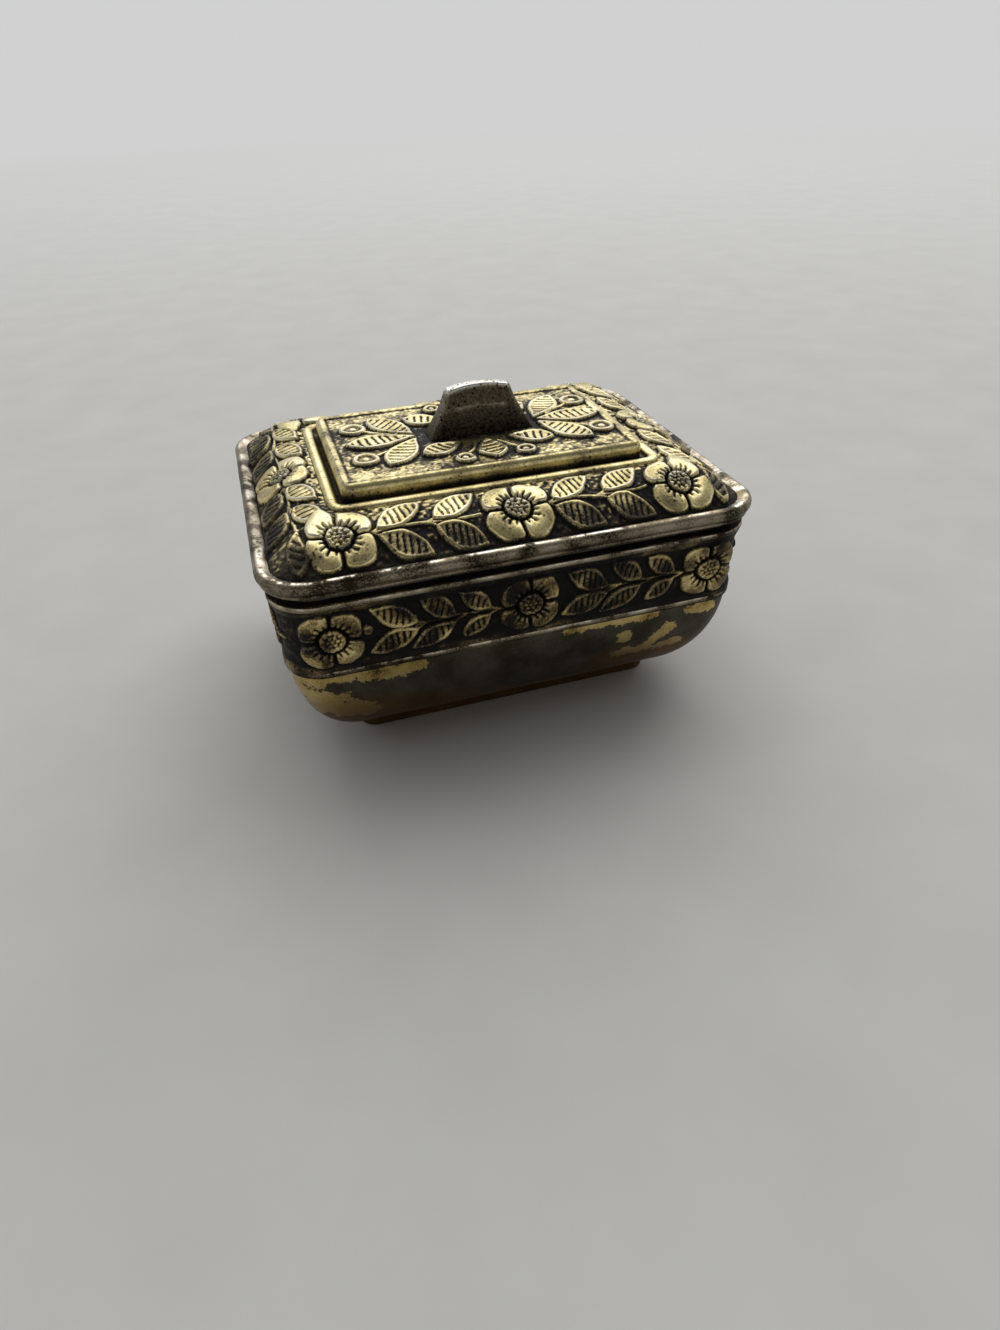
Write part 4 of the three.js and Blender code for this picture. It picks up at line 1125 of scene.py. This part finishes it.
def makeHandle():
    look = handleLook
    low, high = boxOf("handle")
    length, thickness = (high - low)[:2]
    tall = high[2] - low[2] - look["crown"]
    middle = (low + high) / 2
    tab = cutTab(low, middle, length, thickness, tall)
    tabMesh = bmesh.from_edit_mesh(tab.data)
    for vert in tabMesh.verts:  # draw the sides in towards the top, swell the ridge and raise the crown
        share = (vert.co.z / mm - low[2]) / tall
        fromMiddle = (vert.co.x / mm - middle[0]) / (length / 2)
        swell = look["ridge"] * ridgeAt(share, fromMiddle) * (1 - fromMiddle ** 4)
        x = middle[0] + fromMiddle * halfAt(share, look["topLength"], length)
        y = vert.co.y / mm / (thickness / 2) * (halfAt(share, look["topThickness"], thickness) + swell)
        z = vert.co.z / mm + look["crown"] * share ** 2 * (1 - fromMiddle ** 2)
        vert.co = (x * mm, y * mm, z * mm)
    bpy.ops.mesh.select_all(action="DESELECT")
    tabMesh.normal_update()
    for edge in tabMesh.edges:  # ease the edges between the top and the sides
        steepness = sorted(abs(face.normal.z) for face in edge.link_faces)
        above = min(vert.co.z for vert in edge.verts) > (low[2] + tall * look["topFrom"]) * mm
        atTop = above and len(steepness) == 2
        edge.select_set(bool(atTop and steepness[0] < look["sideSlope"] and steepness[1] > look["topSlope"]))
    bmesh.update_edit_mesh(tab.data)
    bpy.ops.mesh.bevel(
        offset=look["ease"] * mm, offset_type="OFFSET", segments=look["easeSteps"], affect="EDGES")
    bpy.ops.mesh.select_mode(type="VERT")
    bpy.ops.object.mode_set(mode="OBJECT")
    dent(tab, look)
    places = placesOf(tab)
    share = np.clip((places[:, 2] - low[2]) / tall, 0, 1)
    aside = np.abs(places[:, 0] - middle[0])
    fromMiddle = aside / (length / 2)
    crest = low[2] + tall + look["crown"] * (1 - np.clip(2 * aside / look["topLength"], 0, 1) ** 2)
    worn = look["topWear"] * smoothStep(look["topWearDepth"], 0.0, crest - places[:, 2])
    worn *= 1 - look["tarnish"] * smoothStep(*look["tarnishBetween"], np.abs(places[:, 1]))
    # painted shade and dirt: darker towards the foot
    worn -= look["footShadeAndDirt"] * smoothStep(*look["footShadeBetween"], share)
    fromEnd = aside - halfAt(share, look["topLength"], length)
    # ends lighter: rubbed, and a painted reflection
    worn += look["endRubAndSheen"] * smoothStep(*look["endBetween"], fromEnd)
    # painted highlight along the ridge's crest
    worn += look["ridgeHighlight"] * ridgeAt(share, fromMiddle) * (fromMiddle < look["ridgeHighlightReach"])
    paint(tab, "worn", worn)
    keepPiece(tab, "lid", handleMetal, "handle", smoothAngle=35)


makeHandle()
for rivet in ("handle_rivet_left", "handle_rivet_right"):
    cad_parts[rivet].data.materials.clear()
    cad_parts[rivet].data.materials.append(collarPlate)
print("handle made")


# Velvet: a crowned pad on the floor, a lining up the walls and one inside the lid

velvetLook = {
    "spans": (70, 54, 10), "thickness": 0.8, "pucker": 0.12, "puckerSize": 6.0, "clearance": 0.15,
    "padCorner": 5.0, "padRoll": 1.0, "padCrown": 0.16, "padRidge": (2.0, 0.9), "padPucker": [(0.072, 5.0)],
    "padSideSteps": 8, "padTopSteps": 23,
    "wallCorner": 5.0, "wallFrom": 0.83, "wallSteps": 17, "wallEdge": 0.05,
    "lidCorner": 3.6, "lidInset": 2.0, "lidBulge": 0.9, "lidDrop": 0.05, "lidEdge": 0.1, "lidSteps": 13,
}


def keepVelvet(name, points, body, node):
    piece = gridPiece(name, points, {})
    keepPiece(piece, body, liningVelvet, node, smoothAngle=80)


def makePad():
    look = velvetLook
    low, high = boxOf("floor_pad")
    tall = high[2] - low[2]
    widest = footprint("floor_pad", look["padCorner"])
    roll = np.linspace(-1, 1, look["padSideSteps"] + 1)  # the rolled edge, pulled in above and below
    sideShapes = grown(widest, -look["padRoll"] * roll ** 2)
    sideHeights = low[2] + tall * (1 - look["padCrown"]) / 2 * (1 + roll)
    inset = np.linspace(0, 1, look["padTopSteps"] + 1)[1:]
    ridgeWidth, ridgeCorner = look["padRidge"]
    ridge = [widest[0] - widest[1] + ridgeWidth, ridgeWidth, ridgeCorner]
    topShapes = blended(sideShapes[-1], ridge, inset)
    topHeights = sideHeights[-1] + tall * look["padCrown"] * np.sin(inset * math.pi / 2)
    shapes = np.concatenate([sideShapes, topShapes])
    points = ringPoints(ringPlan(*look["spans"]), shapes, np.concatenate([sideHeights, topHeights]))[0]
    points[1:, :, 2] += mottle(points[1:], look["padPucker"])
    keepVelvet("floor_pad_velvet", points, "box", "floor_pad")


def makeWallLining():
    look = velvetLook
    low, high = boxOf("bowl")
    plan = ringPlan(*look["spans"])
    inset = -bowlLook["wall"] - look["clearance"]
    bowlTop = grown(footprint("bowl", bowlLook["topCorner"]), inset)
    bowlBottom = grown(footprint("foot_ring", bowlLook["bottomCorner"]), inset)
    inward, down = bowlCurve(np.linspace(look["wallFrom"], 0, look["wallSteps"] + 1) * math.pi / 2)
    top = footprint("wall_lining", look["wallCorner"])
    shapes = np.concatenate([blended(bowlTop, bowlBottom, inward), top[None]])
    heights = high[2] - (high[2] - low[2] - bowlLook["wall"]) * down + look["clearance"]
    heights = np.append(heights, boxOf("wall_lining")[1][2])
    outer = ringPoints(plan, shapes, heights)[0]
    inner, ways = ringPoints(plan, grown(shapes, -look["thickness"])[::-1], heights[::-1])
    inner = inner - ways * (look["pucker"] * (1 + grain(inner, look["puckerSize"])))[..., None]
    edge = ringPoints(plan, grown(shapes[-1:], -look["thickness"] / 2), heights[-1:] + look["wallEdge"])[0]
    points = np.concatenate([outer, edge, inner, outer[:1]])
    keepVelvet("wall_lining_velvet", points, "box", "wall_lining")


def makeLidLining():
    look = velvetLook
    top = boxOf("lid_lining")[1][2]
    seat = boxOf("lid_shell")[0][2]
    plan = ringPlan(*look["spans"])
    share = np.linspace(0, 1, look["lidSteps"] + 1)
    edge = footprint("lid_lining", look["lidCorner"])
    shapes = blended(edge, grown(lidBorder["frame"], -look["lidInset"]), share)
    heights = seat + (top - seat) * share + look["lidBulge"] * np.sin(math.pi * share) - look["lidDrop"]
    heights = np.minimum(heights, top)
    upper = ringPoints(plan, shapes, heights)[0]
    lower = ringPoints(plan, grown(shapes, -look["lidEdge"])[::-1], (heights - look["thickness"])[::-1])[0]
    lower[..., 2] += look["pucker"] * grain(lower, look["puckerSize"])
    keepVelvet("lid_lining_velvet", np.concatenate([lower, upper]), "lid", "lid_lining")


makePad()
makeWallLining()
makeLidLining()
print("velvet made")


# Floor, light and camera

stageLook = {
    "floor": "#dedcd7", "floorShade": "#d8d6d1", "floorSize": 9.0, "floorCuts": 7,
    "fadeFrom": 0.25, "fadeTo": 1.4, "world": 1.0, "skyFront": "#4c4c4d", "skyBack": "#d4d6d8",
    "skyBetween": (-0.7, 0.7), "horizon": "#d0d1d0", "paleBetween": (0.62, 0.38),
    "lamp": (0.4, 0.85, 1.15), "lampTarget": (0, 0, 0.03), "lampSize": 1.9, "lampWatts": 13.0,
}


def raySeen(add):  # 1 for what the camera sees, straight, in a reflection or through glass
    path = add("LightPath").node.outputs
    seen = add("Math", {0: path["Is Camera Ray"], 1: path["Is Glossy Ray"]}, operation="MAXIMUM")
    return add("Math", {0: seen, 1: path["Is Transmission Ray"]}, operation="MAXIMUM")


def makeStage():
    look = stageLook
    floor = startPiece("pale_floor", bpy.ops.mesh.primitive_plane_add, size=look["floorSize"])
    bpy.ops.object.mode_set(mode="EDIT")
    bpy.ops.mesh.subdivide(number_cuts=look["floorCuts"])
    bpy.ops.object.mode_set(mode="OBJECT")
    # painted board: matt, with a faint mottle 20 mm across
    material, add, shader, place = newMaterial("painted_board_matt")
    cloud = add("TexNoise", {"Vector": place, "Scale": 1 / (20 * mm), "Detail": 4.0})
    tone = add("ValToRGB", {"Fac": cloud}, stops=[(0.3, look["floorShade"]), (0.7, look["floor"])])
    feed(shader, {"Base Color": tone, "Roughness": 0.9})
    # far off it runs into the pale horizon, for the camera and for reflections
    away = add("VectorMath", {0: place}, output="Value", operation="LENGTH")
    fade = add("MapRange", {"Value": away, "From Min": look["fadeFrom"], "From Max": look["fadeTo"]})
    pale = add("Math", {0: fade, 1: raySeen(add)}, operation="MULTIPLY")
    glow = add("Emission", {"Color": linear(look["horizon"]), "Strength": 1.0})
    whole = add("MixShader", {0: pale, 1: shader.outputs[0], 2: glow})
    feed(ownNode(material.node_tree, "OUTPUT_MATERIAL"), {"Surface": whole})
    floor.data.materials.append(material)


def makeLight():
    look = stageLook
    scene = bpy.context.scene
    scene.world = bpy.data.worlds.new("soft_room")
    scene.world.use_nodes = True
    add = functools.partial(addNode, scene.world.node_tree)
    # darker in front of the object than behind it, and pale down to the floor's far edge
    way = add("SeparateXYZ", {"Vector": add("TexCoord", output="Generated")}).node.outputs
    skyFrom, skyTo = look["skyBetween"]
    back = add("MapRange", {"Value": way["Y"], "From Min": skyFrom, "From Max": skyTo})
    tone = add("ValToRGB", {"Fac": back}, stops=[(0.0, look["skyFront"]), (1.0, look["skyBack"])])
    paleFrom, paleTo = look["paleBetween"]
    low = add("MapRange", {"Value": way["Z"], "From Min": paleFrom, "From Max": paleTo})
    pale = add("Math", {0: low, 1: raySeen(add)}, operation="MULTIPLY")
    colour = add("Mix", {0: pale, 6: tone, 7: linear(look["horizon"])}, output=2, data_type="RGBA")
    feed(ownNode(scene.world.node_tree, "BACKGROUND"), {"Color": colour, "Strength": look["world"]})
    lamp = bpy.data.lights.new("window_softbox", "AREA")
    lamp.shape = "SQUARE"
    lamp.size = look["lampSize"]
    lamp.energy = look["lampWatts"]
    holder = bpy.data.objects.new("window_softbox", lamp)
    scene.collection.objects.link(holder)
    holder.location = look["lamp"]
    toward = Vector(look["lampTarget"]) - holder.location
    holder.rotation_euler = toward.to_track_quat("-Z", "Y").to_euler()


cameraLook = {
    "focalPixels": 814.57, "imageHeight": 1330, "sensor": 36.0, "nearest": 0.005,  # a frame of 1000 by 1330
    "place": (-35.32, -132.48, 96.35), "right": (0.95295, -0.30196, -0.02647),
    "up": (0.20127, 0.56506, 0.80012), "back": (-0.22665, -0.7678, 0.59926),
}


def makeCamera():
    look = cameraLook
    view = bpy.data.cameras.new("photo_view")
    view.sensor_width = look["sensor"]
    view.lens = look["focalPixels"] * look["sensor"] / look["imageHeight"]
    view.clip_start = look["nearest"]
    holder = bpy.data.objects.new("photo_view", view)
    bpy.context.scene.collection.objects.link(holder)
    turn = Matrix([look["right"], look["up"], look["back"]]).transposed().to_4x4()
    holder.matrix_world = Matrix.Translation([part * mm for part in look["place"]]) @ turn
    bpy.context.scene.camera = holder


makeStage()
makeLight()
makeCamera()
bpy.context.scene.view_settings.view_transform = "Standard"
print("stage, light and camera set")
